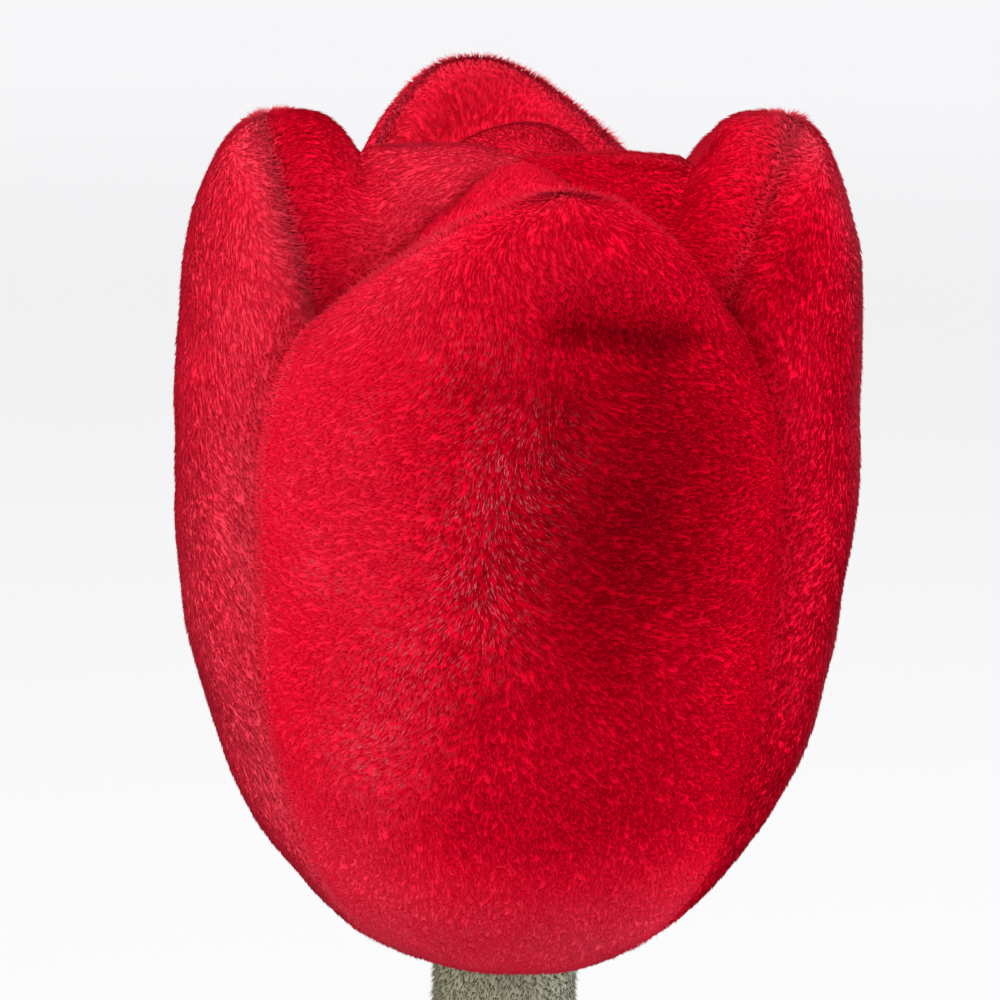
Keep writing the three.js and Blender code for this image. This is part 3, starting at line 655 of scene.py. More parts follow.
def plumped(bm, growth, cap):
    """Swells a net of faces as the filling swells sewn cloth. It is a cloth simulation in which the sewn
    corners stay and the cloth is larger than its outline by a share, so that it puckers there. It runs at ten
    times the size, because it isn't stable at the real size, and no corner moves further than the cap."""
    larger, frames = 10, 20
    held = bm.verts.layers.float["held"]
    skin = bm.verts.layers.float_vector["skin"]
    bm.verts.index_update()
    piece = object_of("plumping", bm)
    group = piece.vertex_groups.new(name="sewn")
    for corner in bm.verts:
        group.add([corner.index], corner[held], "REPLACE")
        piece.data.vertices[corner.index].co = corner.co * larger
    cloth = piece.modifiers.new("cloth", "CLOTH")
    cloth.settings.quality = 5
    cloth.settings.mass = 0.3
    cloth.settings.bending_stiffness = 0.03
    cloth.settings.use_pressure = True
    cloth.settings.uniform_pressure_force = FILLING_PRESSURE
    cloth.settings.shrink_min = -growth
    cloth.settings.vertex_group_mass = "sewn"
    cloth.settings.effector_weights.gravity = 0
    cloth.point_cache.frame_end = frames
    for step in range(1, frames + 1):
        bpy.context.scene.frame_set(step)
    swollen = evaluated_mesh(piece)
    for corner, end in zip(bm.verts, swollen.vertices):
        move = end.co / larger - corner.co
        corner.co += move * min(1, cap / max(move.length, 1e-9))
    bpy.data.objects.remove(piece)
    bpy.context.scene.frame_set(1)
    bm.normal_update()
    for corner in bm.verts:
        corner[skin] = corner.normal


def thread_on(name, spots, body, colour, length, thickness):
    """A row of stitches, each a plump capsule. A spot is its middle, the way it runs and the way out."""
    bm = bmesh.new()
    for middle, along, out in spots:
        sideways = out.cross(along).normalized()
        facing = Matrix((along.normalized(), sideways, out)).transposed().to_4x4()
        size = Matrix.Diagonal((length / 2, thickness / 2, thickness / 2, 1))
        stitch = Matrix.Translation(middle) @ facing @ size
        bmesh.ops.create_uvsphere(bm, u_segments=8, v_segments=6, radius=1, matrix=stitch)
    smooth_faces(bm)
    piece = object_of(name, bm)
    bm.free()
    piece.data.materials.append(sewing_thread(name + "_cotton", colour))
    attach(piece, body)


def sewing_thread(name, colour):
    # Spun cotton sewing thread: matt, with the two plies' twist as slanting ridges, and painted shade
    # darkening the grooves between them.
    material, tree = fresh_material(name)
    here = node(tree, "ShaderNodeTexCoord").outputs["Object"]
    plies = node(
        tree,
        "ShaderNodeTexWave",
        {"bands_direction": "DIAGONAL"},
        {"Vector": here, "Scale": 1 / (2.4 * MM), "Distortion": 1.0},
    )
    colours = node(tree, "ShaderNodeValToRGB", {}, {"Fac": plies.outputs["Fac"]})
    steps = colours.color_ramp.elements
    steps[0].color = [0.6 * share for share in linear(colour)[:3]] + [1]
    steps[1].color = linear(colour)
    raised = node(
        tree, "ShaderNodeBump", {}, {"Height": plies.outputs["Fac"], "Strength": 0.4, "Distance": 0.05 * MM}
    )
    surface = node(
        tree,
        "ShaderNodeBsdfPrincipled",
        {},
        {"Base Color": colours.outputs["Color"], "Roughness": 0.7, "Normal": raised},
    )
    node(tree, "ShaderNodeOutputMaterial", {}, {"Surface": surface})
    return material


def plush(name, bm, backing, material, **pile):
    """A closed plush piece: a net of faces that gets the backing's thickness, with the pile on its
    outside."""
    grown = grown_pile(object_of(name + "_sheet", bm), **pile)
    along = bm.verts.layers.float.new("along")
    tone = bm.verts.layers.float.new("tone")
    # The backing counts as past the hairs' ends, so it takes the palest colour: painted light where it lies
    # down in the pile.
    for corner in bm.verts:
        corner[along], corner[tone] = 2.0, 0.5
    thin = object_of(name + "_thin", bm)
    bm.free()
    thick = thin.modifiers.new("backing", "SOLIDIFY")
    thick.thickness = backing
    thick.offset = -1
    piece = settled(thin, name + "_plush")
    with bpy.context.temp_override(active_object=piece, selected_editable_objects=[piece, grown]):
        bpy.ops.object.join()
    piece.data.materials.clear()
    piece.data.materials.append(material)
    return piece


def petal_plush():
    # Long-pile polyester plush, dyed red and brushed. Painted light and shade are in its colour: deep crimson
    # down in the pile as painted shade, bright at the hairs' ends as painted light, the level that the shade
    # attribute paints, and pale pink dashes as painted highlights in some patches of the nap.
    material, tree = fresh_material("long_pile_polyester_plush")
    along = node(tree, "ShaderNodeAttribute", {"attribute_name": "along"}).outputs["Fac"]
    tone = node(tree, "ShaderNodeAttribute", {"attribute_name": "tone"}).outputs["Fac"]
    gloss = node(tree, "ShaderNodeAttribute", {"attribute_name": "gloss"}).outputs["Fac"]
    here = node(tree, "ShaderNodeTexCoord").outputs["Object"]
    broad = node(tree, "ShaderNodeTexNoise", {}, {"Vector": here, "Scale": 1 / (7 * MM), "Detail": 4.0})
    level = uneven(tree, tone, broad, most=1.6, low=0.93, high=1.06)
    mottle = node(tree, "ShaderNodeTexNoise", {}, {"Vector": here, "Scale": 1 / (1.1 * MM), "Detail": 3.0})
    tufts = node(
        tree,
        "ShaderNodeMapRange",
        {},
        {"Value": mottle.outputs["Fac"], "From Min": 0.3, "From Max": 0.7, "To Min": 0.94, "To Max": 1.06},
    )
    clump = node(
        tree,
        "ShaderNodeMapRange",
        {"interpolation_type": "SMOOTHSTEP"},
        {"Value": mottle.outputs["Fac"], "From Min": 0.42, "From Max": 0.58, "To Min": 0.25, "To Max": 1.0},
    )
    # The shade attribute: painted light and shade from each panel.
    painted_light = node(tree, "ShaderNodeAttribute", {"attribute_name": "shade"}).outputs["Fac"]
    tufts_and_painted_light = node(tree, "ShaderNodeMath", {"operation": "MULTIPLY"}, {0: tufts, 1: painted_light})
    # Painted shade at the hairs' feet, painted light on their ends and more on the backing below them.
    hairs = node(
        tree, "ShaderNodeMapRange", {}, {"Value": along, "From Max": 2.0, "To Min": 0.88, "To Max": 1.16}
    )
    toned = node(tree, "ShaderNodeMath", {"operation": "MULTIPLY"}, {0: level, 1: hairs})
    bright = node(tree, "ShaderNodeMath", {"operation": "MULTIPLY"}, {0: toned, 1: tufts_and_painted_light})
    # The level becomes colour: where shade is painted, deep crimson, and where light is painted, bright red
    # to pink.
    depth = node(tree, "ShaderNodeMapRange", {}, {"Value": bright, "From Min": 0.3, "From Max": 1.8})
    ramp = node(tree, "ShaderNodeValToRGB", {}, {"Fac": depth})
    steps = ramp.color_ramp.elements
    steps[0].color = linear("#6a000e")
    steps[1].color = linear("#ff445c")
    steps.new(0.22).color = linear("#ce001e")
    steps.new(0.4).color = linear("#ff0832")
    steps.new(0.68).color = linear("#ff2444")
    # Pale pink painted highlights on some hairs, below their ends, in the marked patches.
    picked = node(
        tree,
        "ShaderNodeMapRange",
        {"interpolation_type": "SMOOTHSTEP"},
        {"Value": tone, "From Min": 0.5, "From Max": 0.72, "To Max": 1.0},
    )
    highlight_low_on_hair = node(
        tree,
        "ShaderNodeMapRange",
        {"interpolation_type": "SMOOTHSTEP"},
        {"Value": along, "From Min": 0.75, "From Max": 0.45},
    )
    dash = node(tree, "ShaderNodeMath", {"operation": "MULTIPLY"}, {0: picked, 1: highlight_low_on_hair})
    patch = node(tree, "ShaderNodeMath", {"operation": "MULTIPLY"}, {0: clump, 1: gloss})
    highlight_share = node(tree, "ShaderNodeMath", {"operation": "MULTIPLY"}, {0: dash, 1: patch})
    colour = node(
        tree,
        "ShaderNodeMix",
        {"data_type": "RGBA"},
        {"Factor": highlight_share, 6: ramp.outputs["Color"], 7: linear("#ff6c82")},
    )
    surface = node(
        tree,
        "ShaderNodeBsdfPrincipled",
        {},
        {
            "Base Color": colour.outputs[2],
            "Roughness": 0.6,
            "Specular IOR Level": 0.0,
            "Sheen Weight": 0.6,
            "Sheen Roughness": 0.22,
            "Sheen Tint": linear("#ff485c"),
            "Normal": pile_normal(tree, 0.9),
        },
    )
    through = node(tree, "ShaderNodeBsdfTranslucent", {}, {"Color": colour.outputs[2]})
    lit = node(tree, "ShaderNodeMixShader", {}, {0: 0.2, 1: surface, 2: through})
    node(tree, "ShaderNodeOutputMaterial", {}, {"Surface": lit})
    return material


def petal_painted_highlight(name, across, rise, spot):
    """Where pale pink highlights are painted on the hairs: patches left and below of the front panel's
    middle, and stray ones."""
    stray = smooth_step(0.3, 0.65, drift(spot, 9 * MM, 40)) * 0.6
    if name != "petal_front_outer":
        return 0.3 * stray
    x, height = front_place(spot)
    return max(stray * (x < -8), *(share * near_line(x, height, *line) for share, *line in FRONT_PAINTED_HIGHLIGHTS))


def petal_panel(name, petal, inner, material, item):
    low, high = (2, 3) if inner else (0, 2)

    def place(u, v):
        return petal_place(name, petal, 2 * u - 1, mix(low, high, v), inner)

    def comb(u, v, spot, out):
        across, rise = 2 * u - 1, mix(low, high, v)
        way = petal_comb(name, petal, across, rise, inner, spot, out)
        from_rim = abs(rise - 2) * PANEL_REACH
        tufted = 1 + (1 - smooth_step(0, 5 * MM, from_rim)) * (0.35 + 0.5 * drift(spot, 3 * MM, 44))
        pile = PETAL_PILE * tufted * (1 - 0.45 * smooth_step(0.93, 1, abs(across)))
        cover = 1 + 0.4 * (1 - smooth_step(0, 4 * MM, from_rim))
        # How much pale pink highlight is painted on the hairs here.
        gloss = petal_painted_highlight(name, across, rise, spot)
        return way, pile, cover, gloss, petal_painted_light(name, spot, across, rise)

    rows = 36 if inner else 72
    piece = plush(
        name,
        sheet_of(48, rows, place, comb),
        PLUSH_BACKING,
        material,
        item=item,
        per_mm2=PETAL_HAIRS.get(name, PLAIN_PETAL_HAIRS),
        radius=PETAL_HAIR_RADIUS,
        stray=0.15,
        lock=0.35,
        twist=0.35,
        seed=sum(map(ord, name)),
    )
    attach(piece, "bloom")
    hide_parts(name)


# Stem and leaves. Hairs are counted per square mm, and headings, lean and curl are in degrees.
STEM_NECK_RADIUS = 9.3 * MM
STEM_BORE_RADIUS = 7.3 * MM
STEM_CLOTH = 1.4 * MM
SHORT_PILE = 1.3 * MM
SHORT_GROWTH = dict(radius=0.085 * MM, stray=0.3, lock=0.8, twist=0.6)
STEM_HAIRS = 5.4
LEAF_HAIRS = 6.2
LEAVES = {
    "right": dict(heading=-35, length=74 * MM, half_width=14 * MM),
    "left": dict(heading=210, length=82 * MM, half_width=15.5 * MM),
}
LEAF_ROOT_RADIUS = 3.2 * MM
LEAF_ROOT_HALF_WIDTH = 7.5 * MM
LEAF_HALF_THICKNESS = 3.6 * MM
LEAF_EDGE = 0.24 * MM
LEAF_LEAN = 12
LEAF_CURL = 36
LEAF_CUP = 5 * MM  # how far a leaf's edges lie behind its middle line, where it is widest
LEAF_WIDEST = 0.42  # as a share of the way up the leaf
LEAF_TIP_POWER = 2.4
LEAF_END_SHARE = 0.003
LEAF_TIP_SWELL = 0.12
LEAF_CLOTH = 0.2 * MM
LEAF_CURVE_STEPS = 24
LEAF_PRESSED = 0.9 * MM  # how much flatter the inner face is where it lies along the stem
LEAF_CAPS = {1: 1.2 * MM, -1: 0.4 * MM}  # how far the filling can move the outer face and the inner one
LEAF_STITCHES = 15
MIDRIB_DEPTH = 2.0 * MM
MIDRIB_HALF_WIDTH = 2.2 * MM


def short_plush(name, colour, deep, pale):
    # Short-pile polyester plush, soft and matt: darker down in the pile as painted shade, with a faint bloom
    # on the hairs' ends as painted light and slow patches where the nap was stroked another way.
    material, tree = fresh_material(name)
    here = node(tree, "ShaderNodeTexCoord").outputs["Object"]
    broad = node(tree, "ShaderNodeTexNoise", {}, {"Vector": here, "Scale": 1 / (6 * MM), "Detail": 4.0})
    shade = pile_colour_with_painted_shade(tree, broad, deep, colour, pale, most=1.6, low=0.78, high=1.14)
    surface = node(
        tree,
        "ShaderNodeBsdfPrincipled",
        {},
        {
            "Base Color": shade,
            "Roughness": 0.6,
            "Specular IOR Level": 0.25,
            "Sheen Weight": 0.12,
            "Sheen Roughness": 0.5,
        },
    )
    node(tree, "ShaderNodeOutputMaterial", {}, {"Surface": surface})
    return material


def stem_profile(v):
    """Radius and height up the stem's cover, from under its round foot to the mouth in its round head."""
    mouth = math.acos(STEM_BORE_RADIUS / STEM_NECK_RADIUS)
    foot_end, head_start = 0.14, 0.92
    if v < foot_end:
        angle = (v / foot_end - 1) * math.pi / 2
        return STEM_FOOT_RADIUS * math.cos(angle), SWAY_PIVOT.z + STEM_FOOT_RADIUS * math.sin(angle)
    if v > head_start:
        angle = (v - head_start) / (1 - head_start) * mouth
        return STEM_NECK_RADIUS * math.cos(angle), NECK_PIVOT.z + STEM_NECK_RADIUS * math.sin(angle)
    share = (v - foot_end) / (head_start - foot_end)
    return mix(STEM_FOOT_RADIUS, STEM_NECK_RADIUS, share), mix(SWAY_PIVOT.z, NECK_PIVOT.z, share)


def stem_cover(material, item):
    def place(u, v):
        radius, height = stem_profile(v)
        spot = round_spot(angle_at(u), radius, height)
        free = smooth_step(0.1, 0.2, v) * (1 - smooth_step(0.9, 0.96, v))
        lumps = 0.45 * MM * drift(spot, 11 * MM, 60) + 0.2 * MM * drift(spot, 4 * MM, 61)
        seam = 0.7 * MM * fade(from_seam(u, radius), 1.1 * MM)
        return round_spot(angle_at(u), radius + free * (lumps - seam), height)

    def comb(u, v, spot, out):
        swirl = math.radians(25 * drift(spot, 12 * MM, 62))
        around = Vector((-out.y, out.x, 0))
        brushed = Vector((0, 0, -1)) * math.cos(swirl) + around * math.sin(swirl)
        lean = math.radians(58)
        shown = smooth_step(0.12, 0.17, v) * (1 - smooth_step(0.95, 0.99, v))
        return out * math.cos(lean) + brushed * math.sin(lean), SHORT_PILE, shown, 0.0, 1.0

    piece = plush(
        "stem_cover",
        sheet_of(72, 80, place, comb, around=True),
        STEM_CLOTH,
        material,
        item=item,
        per_mm2=STEM_HAIRS,
        seed=700,
        **SHORT_GROWTH,
    )
    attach(piece, "stem")
    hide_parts("stem_cover")


def leaf_half_width(leaf, along):
    if along < LEAF_WIDEST:
        return mix(LEAF_ROOT_HALF_WIDTH, leaf["half_width"], math.sin(math.pi / 2 * along / LEAF_WIDEST))
    past = (along - LEAF_WIDEST) / (1 - LEAF_WIDEST)
    return leaf["half_width"] * math.sqrt(max(1 - past**LEAF_TIP_POWER, 0))


def leaf_half_thickness(leaf, along):
    from_end = along * leaf["length"]
    if from_end < LEAF_ROOT_RADIUS:
        return math.sqrt(LEAF_ROOT_RADIUS**2 - (LEAF_ROOT_RADIUS - from_end) ** 2)
    swell = math.sin(math.pi * min(along + LEAF_TIP_SWELL, 1)) ** 0.5
    return mix(LEAF_ROOT_RADIUS / 2, LEAF_HALF_THICKNESS, swell)


def leaf_lean(share):
    return math.radians(LEAF_LEAN + LEAF_CURL * share**2)


def leaf_point(name, along, across, height):
    """A point at a height over the leaf's middle surface, which curls outwards and cups the stem."""
    leaf = LEAVES[name]
    step = leaf["length"] * along / LEAF_CURVE_STEPS
    out = -LEAF_ROOT_RADIUS * math.sin(leaf_lean(0))
    up = -LEAF_ROOT_RADIUS * math.cos(leaf_lean(0))
    for i in range(LEAF_CURVE_STEPS):
        middle = leaf_lean((i + 0.5) / LEAF_CURVE_STEPS * along)
        out += math.sin(middle) * step
        up += math.cos(middle) * step
    half_width = leaf_half_width(leaf, along)
    outwards = height - LEAF_CUP * (half_width / leaf["half_width"]) ** 2 * across**2
    out += outwards * math.cos(leaf_lean(along))
    up -= outwards * math.sin(leaf_lean(along))
    turned = Matrix.Rotation(math.radians(leaf["heading"]), 3, "Z") @ Vector((out, half_width * across, up))
    return joint_place(f"leaf_{name}_bend") + turned


def leaf_swell(name, side, along, across):
    """How far a face of the leaf stands off its middle surface: padded, puckered at the edge, stitched down
    the middle, and flatter where it lies along the stem."""
    leaf = LEAVES[name]
    tip = math.sqrt(1 - smooth_step(0.9, 1, along))
    bulge = (leaf_half_thickness(leaf, along) * tip - LEAF_EDGE) * math.sqrt(max(1 - across**2, 0))
    spot = Vector((across * leaf["half_width"], along * leaf["length"], 0))
    pucker = 0.5 * MM * abs(across) ** 3 * (1 - across**8) * drift(spot, 4 * MM, leaf["heading"] + 3)
    lumps = 0.5 * MM * (1 - across**4) * drift(spot, 9 * MM, leaf["heading"] + 9)
    offset = across * leaf_half_width(leaf, along)
    stitched = smooth_step(0.1, 0.2, along) * (1 - smooth_step(0.68, 0.8, along))
    midrib = min(MIDRIB_DEPTH, 0.7 * bulge) * stitched * fade(offset, MIDRIB_HALF_WIDTH)
    ends = smooth_step(0, 0.05, along) * (1 - smooth_step(0.96, 1, along))
    beside_stem = (1 - smooth_step(0.45, 0.7, along)) * smooth_step(0.06, 0.12, along)
    pressed = LEAF_PRESSED * beside_stem * (1 - across**4) * (side < 0)
    return LEAF_EDGE + bulge + ends * (pucker + lumps - midrib) - pressed


def midrib_spots(name, side, surface):
    """Where the stitches lie down the middle of a leaf's face, and which way each runs and faces."""
    spots = []
    for step in range(LEAF_STITCHES):
        along = mix(0.15, 0.75, step / (LEAF_STITCHES - 1))
        above = leaf_point(name, along, 0, side * 12 * MM)
        below = leaf_point(name, along, 0, 0)
        spot, out, _, _ = surface.ray_cast(above, (below - above).normalized())
        tipwards = leaf_point(name, along + 0.01, 0, 0) - below
        spots.append((spot + out * 0.5 * MM, tipwards, out))
    return spots


def leaf_face(name, side, material, item):
    """One plush face of a leaf: side is 1 for the outer face and -1 for the one towards the stem."""

    def spread(u, v):
        return mix(LEAF_END_SHARE, 1 - LEAF_END_SHARE, v**1.15), math.sin(math.pi / 2 * (2 * u - 1)) * side

    def place(u, v):
        along, across = spread(u, v)
        return leaf_point(name, along, across, side * leaf_swell(name, side, along, across))

    def comb(u, v, spot, out):
        along, across = spread(u, v)
        ahead, behind = min(along + 0.02, 1), along - 0.002
        tipwards = leaf_point(name, ahead, across, 0) - leaf_point(name, behind, across, 0)
        sideways = tipwards.cross(out).normalized()
        swirl = math.radians(35 * across * side + 25 * drift(spot, 12 * MM, 30))
        brushed = tipwards.normalized() * math.cos(swirl) - sideways * math.sin(swirl)
        inwards = leaf_point(name, along, across, 0) - leaf_point(name, along, across, side * MM)
        at_edge = smooth_step(0.9, 1, abs(across))
        brushed = (brushed + 1.5 * at_edge * inwards.normalized()).normalized()
        lean = math.radians(mix(60, 50, at_edge))
        return out * math.cos(lean) + brushed * math.sin(lean), SHORT_PILE, 1.0, 0.0, 1.0

    def sewn(u, v):
        along, across = spread(u, v)
        offset = abs(across) * leaf_half_width(LEAVES[name], along)
        down_middle = offset < 0.8 * MM and 0.12 < along < 0.78
        return 1.0 if min(u, 1 - u) < 0.02 or min(v, 1 - v) < 0.03 or down_middle else 0.0

    node_name = f"leaf_{name}_{'outer' if side > 0 else 'inner'}_face"
    bm = sheet_of(40, 72, place, comb, sewn=sewn)
    plumped(bm, LEAF_GROWTH, LEAF_CAPS[side])
    spots = midrib_spots(name, side, BVHTree.FromBMesh(bm))
    thread_on(
        node_name + "_stitches",
        spots,
        body=f"leaf_{name}",
        colour="#5e6f48",
        length=2.6 * MM,
        thickness=0.5 * MM,
    )
    piece = plush(
        node_name,
        bm,
        LEAF_CLOTH,
        material,
        item=item,
        per_mm2=LEAF_HAIRS,
        seed=sum(map(ord, node_name)),
        **SHORT_GROWTH,
    )
    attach(piece, f"leaf_{name}")
    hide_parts(node_name)


# Pot
POT_SWELL = 1.2 * MM
POT_SLACK = 1.6 * MM  # how much slimmer the wall is before the filling swells it
POT_CAP = 3 * MM  # how far the filling can move the wall
CUFF_CAP = 2 * MM
POT_CLOTH = 1.5 * MM
THREAD_PITCH = 0.85 * MM


def wall_radius(z):
    share = (z - POT_WALL_LOW) / (POT_WALL_TOP - POT_WALL_LOW)
    return mix(POT_FOOT_RADIUS, POT_BRIM_RADIUS, share) + POT_SWELL * math.sin(math.pi * share)


def canvas(name, width, height):
    # Woven cotton canvas, dyed terracotta: plain weave of slubby yarn, matt, with paler crowns on the threads
    # as painted light and darker gaps between them as painted shade. The cloth's own map is stretched to its
    # real size, so the threads are 0.85 mm apart. Real canvas yarn is nearer 0.6 mm, which is too fine to
    # show in the render.
    material, tree = fresh_material(name)
    place = node(tree, "ShaderNodeTexCoord")
    threads = node(
        tree,
        "ShaderNodeMapping",
        {},
        {
            "Vector": place.outputs["UV"],
            "Scale": (math.pi * width / THREAD_PITCH, math.pi * height / THREAD_PITCH, 1),
        },
    )
    slub = node(
        tree,
        "ShaderNodeTexNoise",
        {},
        {"Vector": place.outputs["Object"], "Scale": 1 / (3 * MM), "Detail": 3.0},
    )
    bent = node(
        tree,
        "ShaderNodeVectorMath",
        {"operation": "MULTIPLY_ADD"},
        {0: slub.outputs["Color"], 1: (1.2, 1.2, 0), 2: threads},
    )
    split = node(tree, "ShaderNodeSeparateXYZ", {}, {0: bent})
    warp = node(tree, "ShaderNodeMath", {"operation": "SINE"}, {0: split.outputs["X"]})
    weft = node(tree, "ShaderNodeMath", {"operation": "SINE"}, {0: split.outputs["Y"]})
    over = node(tree, "ShaderNodeMath", {"operation": "MULTIPLY"}, {0: warp, 1: weft})
    warp_up = node(tree, "ShaderNodeMath", {"operation": "ABSOLUTE"}, {0: warp})
    weft_up = node(tree, "ShaderNodeMath", {"operation": "ABSOLUTE"}, {0: weft})
    side = node(
        tree,
        "ShaderNodeMapRange",
        {"interpolation_type": "SMOOTHSTEP"},
        {"Value": over, "From Min": -0.25, "From Max": 0.25},
    )
    crown = node(tree, "ShaderNodeMix", {"data_type": "FLOAT"}, {0: side, 2: warp_up, 3: weft_up})
    colour = node(tree, "ShaderNodeValToRGB", {}, {"Fac": crown})
    steps = colour.color_ramp.elements
    steps[0].color = linear("#834b34")
    steps[1].color = linear("#b07556")
    steps.new(0.5).color = linear("#9e6144")
    broad = node(
        tree,
        "ShaderNodeTexNoise",
        {},
        {"Vector": place.outputs["Object"], "Scale": 1 / (18 * MM), "Detail": 5.0},
    )
    faded = node(
        tree,
        "ShaderNodeMapRange",
        {},
        {"Value": broad.outputs["Fac"], "From Min": 0.25, "From Max": 0.75, "To Min": 0.9, "To Max": 1.1},
    )
    shade = node(
        tree, "ShaderNodeVectorMath", {"operation": "SCALE"}, {0: colour.outputs["Color"], "Scale": faded}
    )
    raised = node(tree, "ShaderNodeBump", {}, {"Height": crown, "Strength": 0.5, "Distance": 0.25 * MM})
    surface = node(
        tree,
        "ShaderNodeBsdfPrincipled",
        {},
        {
            "Base Color": shade,
            "Roughness": 0.85,
            "Specular IOR Level": 0.3,
            "Sheen Weight": 0.15,
            "Sheen Roughness": 0.5,
            "Normal": raised,
        },
    )
    node(tree, "ShaderNodeOutputMaterial", {}, {"Surface": surface})
    return material


def gathers(angle, seed, count):
    """Small folds round a ring where cloth is gathered into a seam, from 0 to 1."""
    ring = round_spot(angle, 1, 0) * count / 6
    return abs(noise.noise(ring + Vector((0, 0, seed)))) ** 0.7


def cloth_piece(name, bm, thickness, material, body="pot"):
    piece = object_of(name + "_thin", bm)
    bm.free()
    if thickness:
        thick = piece.modifiers.new("cloth", "SOLIDIFY")
        thick.thickness = thickness
        thick.offset = -1
    piece = settled(piece, name + "_cloth")
    piece.data.materials.append(material)
    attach(piece, body)
    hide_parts(name)


def plain_comb(u, v, spot, out):
    return out, 0.0, 0.0, 0.0, 1.0


def pot_side():
    def place(u, v):
        angle = angle_at(u)
        height = mix(POT_WALL_LOW, POT_WALL_TOP, v)
        radius = wall_radius(height)
        spot = round_spot(angle, radius, height)
        free = math.sin(math.pi * v) ** 0.5
        lumps = free * (0.9 * MM * drift(spot, 22 * MM, 70) + 0.35 * MM * drift(spot, 8 * MM, 71) - POT_SLACK)
        at_foot = fade(height - POT_WALL_LOW, 7 * MM) * smooth_step(0, 0.04, v)
        tucks = 1.1 * MM * gathers(angle, seed=3, count=110) * at_foot
        seam = 1.2 * MM * fade(from_seam(u, radius), 1.6 * MM)
        return round_spot(angle, radius + lumps - tucks - seam, height)

    width = 2 * math.pi * POT_BRIM_RADIUS
    height = POT_WALL_TOP - POT_WALL_LOW
    material = canvas("woven_cotton_canvas_side", width, height)

    def sewn(u, v):
        seam = min(u, 1 - u) * width < 0.9 * MM
        return 1.0 if min(v, 1 - v) < 0.03 else 0.85 * seam

    bm = sheet_of(216, 48, place, plain_comb, around=True, sewn=sewn)
    plumped(bm, CANVAS_GROWTH, POT_CAP)
    cloth_piece("pot_side", bm, POT_CLOTH, material)


def pot_base():
    rounding = 1.2 * MM
    profile = [
        (0, 0),
        (POT_FOOT_RADIUS - rounding, 0),
        (POT_FOOT_RADIUS - 0.3 * rounding, 0.3 * rounding),
        (POT_FOOT_RADIUS, rounding),
        (POT_FOOT_RADIUS, POT_BASE_TOP),
        (0, POT_BASE_TOP),
    ]
    bm = turned(profile, 96)
    # One unit of this map is a metre of cloth.
    material = canvas("woven_cotton_canvas_base", 1.0, 1.0)
    uv = bm.loops.layers.uv.new("UVMap")
    for face in bm.faces:
        for loop in face.loops:
            loop[uv].uv = loop.vert.co.xy
    cloth_piece("pot_base", bm, 0, material)


def turned(profile, steps):
    """A closed body of revolution from radius and height pairs that start and end on the axis, or close."""
    bm = bmesh.new()
    corners = [bm.verts.new((radius, 0, height)) for radius, height in profile]
    edges = [bm.edges.new(pair) for pair in zip(corners, corners[1:])]
    bmesh.ops.spin(
        bm,
        geom=corners + edges,
        cent=(0, 0, 0),
        axis=(0, 0, 1),
        angle=2 * math.pi,
        steps=steps,
        use_merge=True,
        use_duplicate=False,
    )
    bmesh.ops.remove_doubles(bm, verts=bm.verts, dist=0.002 * MM)
    bmesh.ops.recalc_face_normals(bm, faces=bm.faces)
    smooth_faces(bm)
    return bm


def along_curve(points, share):
    """A point of the closed smooth curve through some points, at a share of its way round."""
    count = len(points)
    index = int(share * count) % count
    t = share * count - int(share * count)
    before, start, end, after = (Vector(points[(index + k) % count]) for k in (-1, 0, 1, 2))
    return (
        start * 2
        + (end - before) * t
        + (before * 2 - start * 5 + end * 4 - after) * t * t
        + (start * 3 - before - end * 3 + after) * t**3
    ) / 2


# Soil and cuff
SOIL_RADIUS = wall_radius(POT_WALL_TOP) - 3.3 * MM
SOIL_EDGE = POT_WALL_TOP + 0.8 * MM
SOIL_BULGE = 2 * MM
SOIL_BACKING = 2.4 * MM
CURL_SIZE = 1.75 * MM
CURLS = 0.34  # per square mm
CUFF_LIP = 4 * MM
HEM_SHARE = 0.19  # where the row of stitches lies on the way round the cuff's section
HEM_STITCHES = 84
CUFF_SECTION_LENGTH = 68 * MM  # about the way round that section


def soil_height(radius):
    return SOIL_EDGE + SOIL_BULGE * (1 - (radius / SOIL_RADIUS) ** 2)


def hem_spots(height, surface):
    """Where the stitches lie round the cuff's hem, and which way each runs and faces."""
    spots = []
    for step in range(HEM_STITCHES):
        angle = 2 * math.pi * (step + 0.5) / HEM_STITCHES
        spot, out, _, _ = surface.ray_cast(round_spot(angle, 100 * MM, height), -round_spot(angle, 1, 0))
        spots.append((spot + out * 0.1 * MM, Vector((0, 0, 1)).cross(out), out))
    return spots


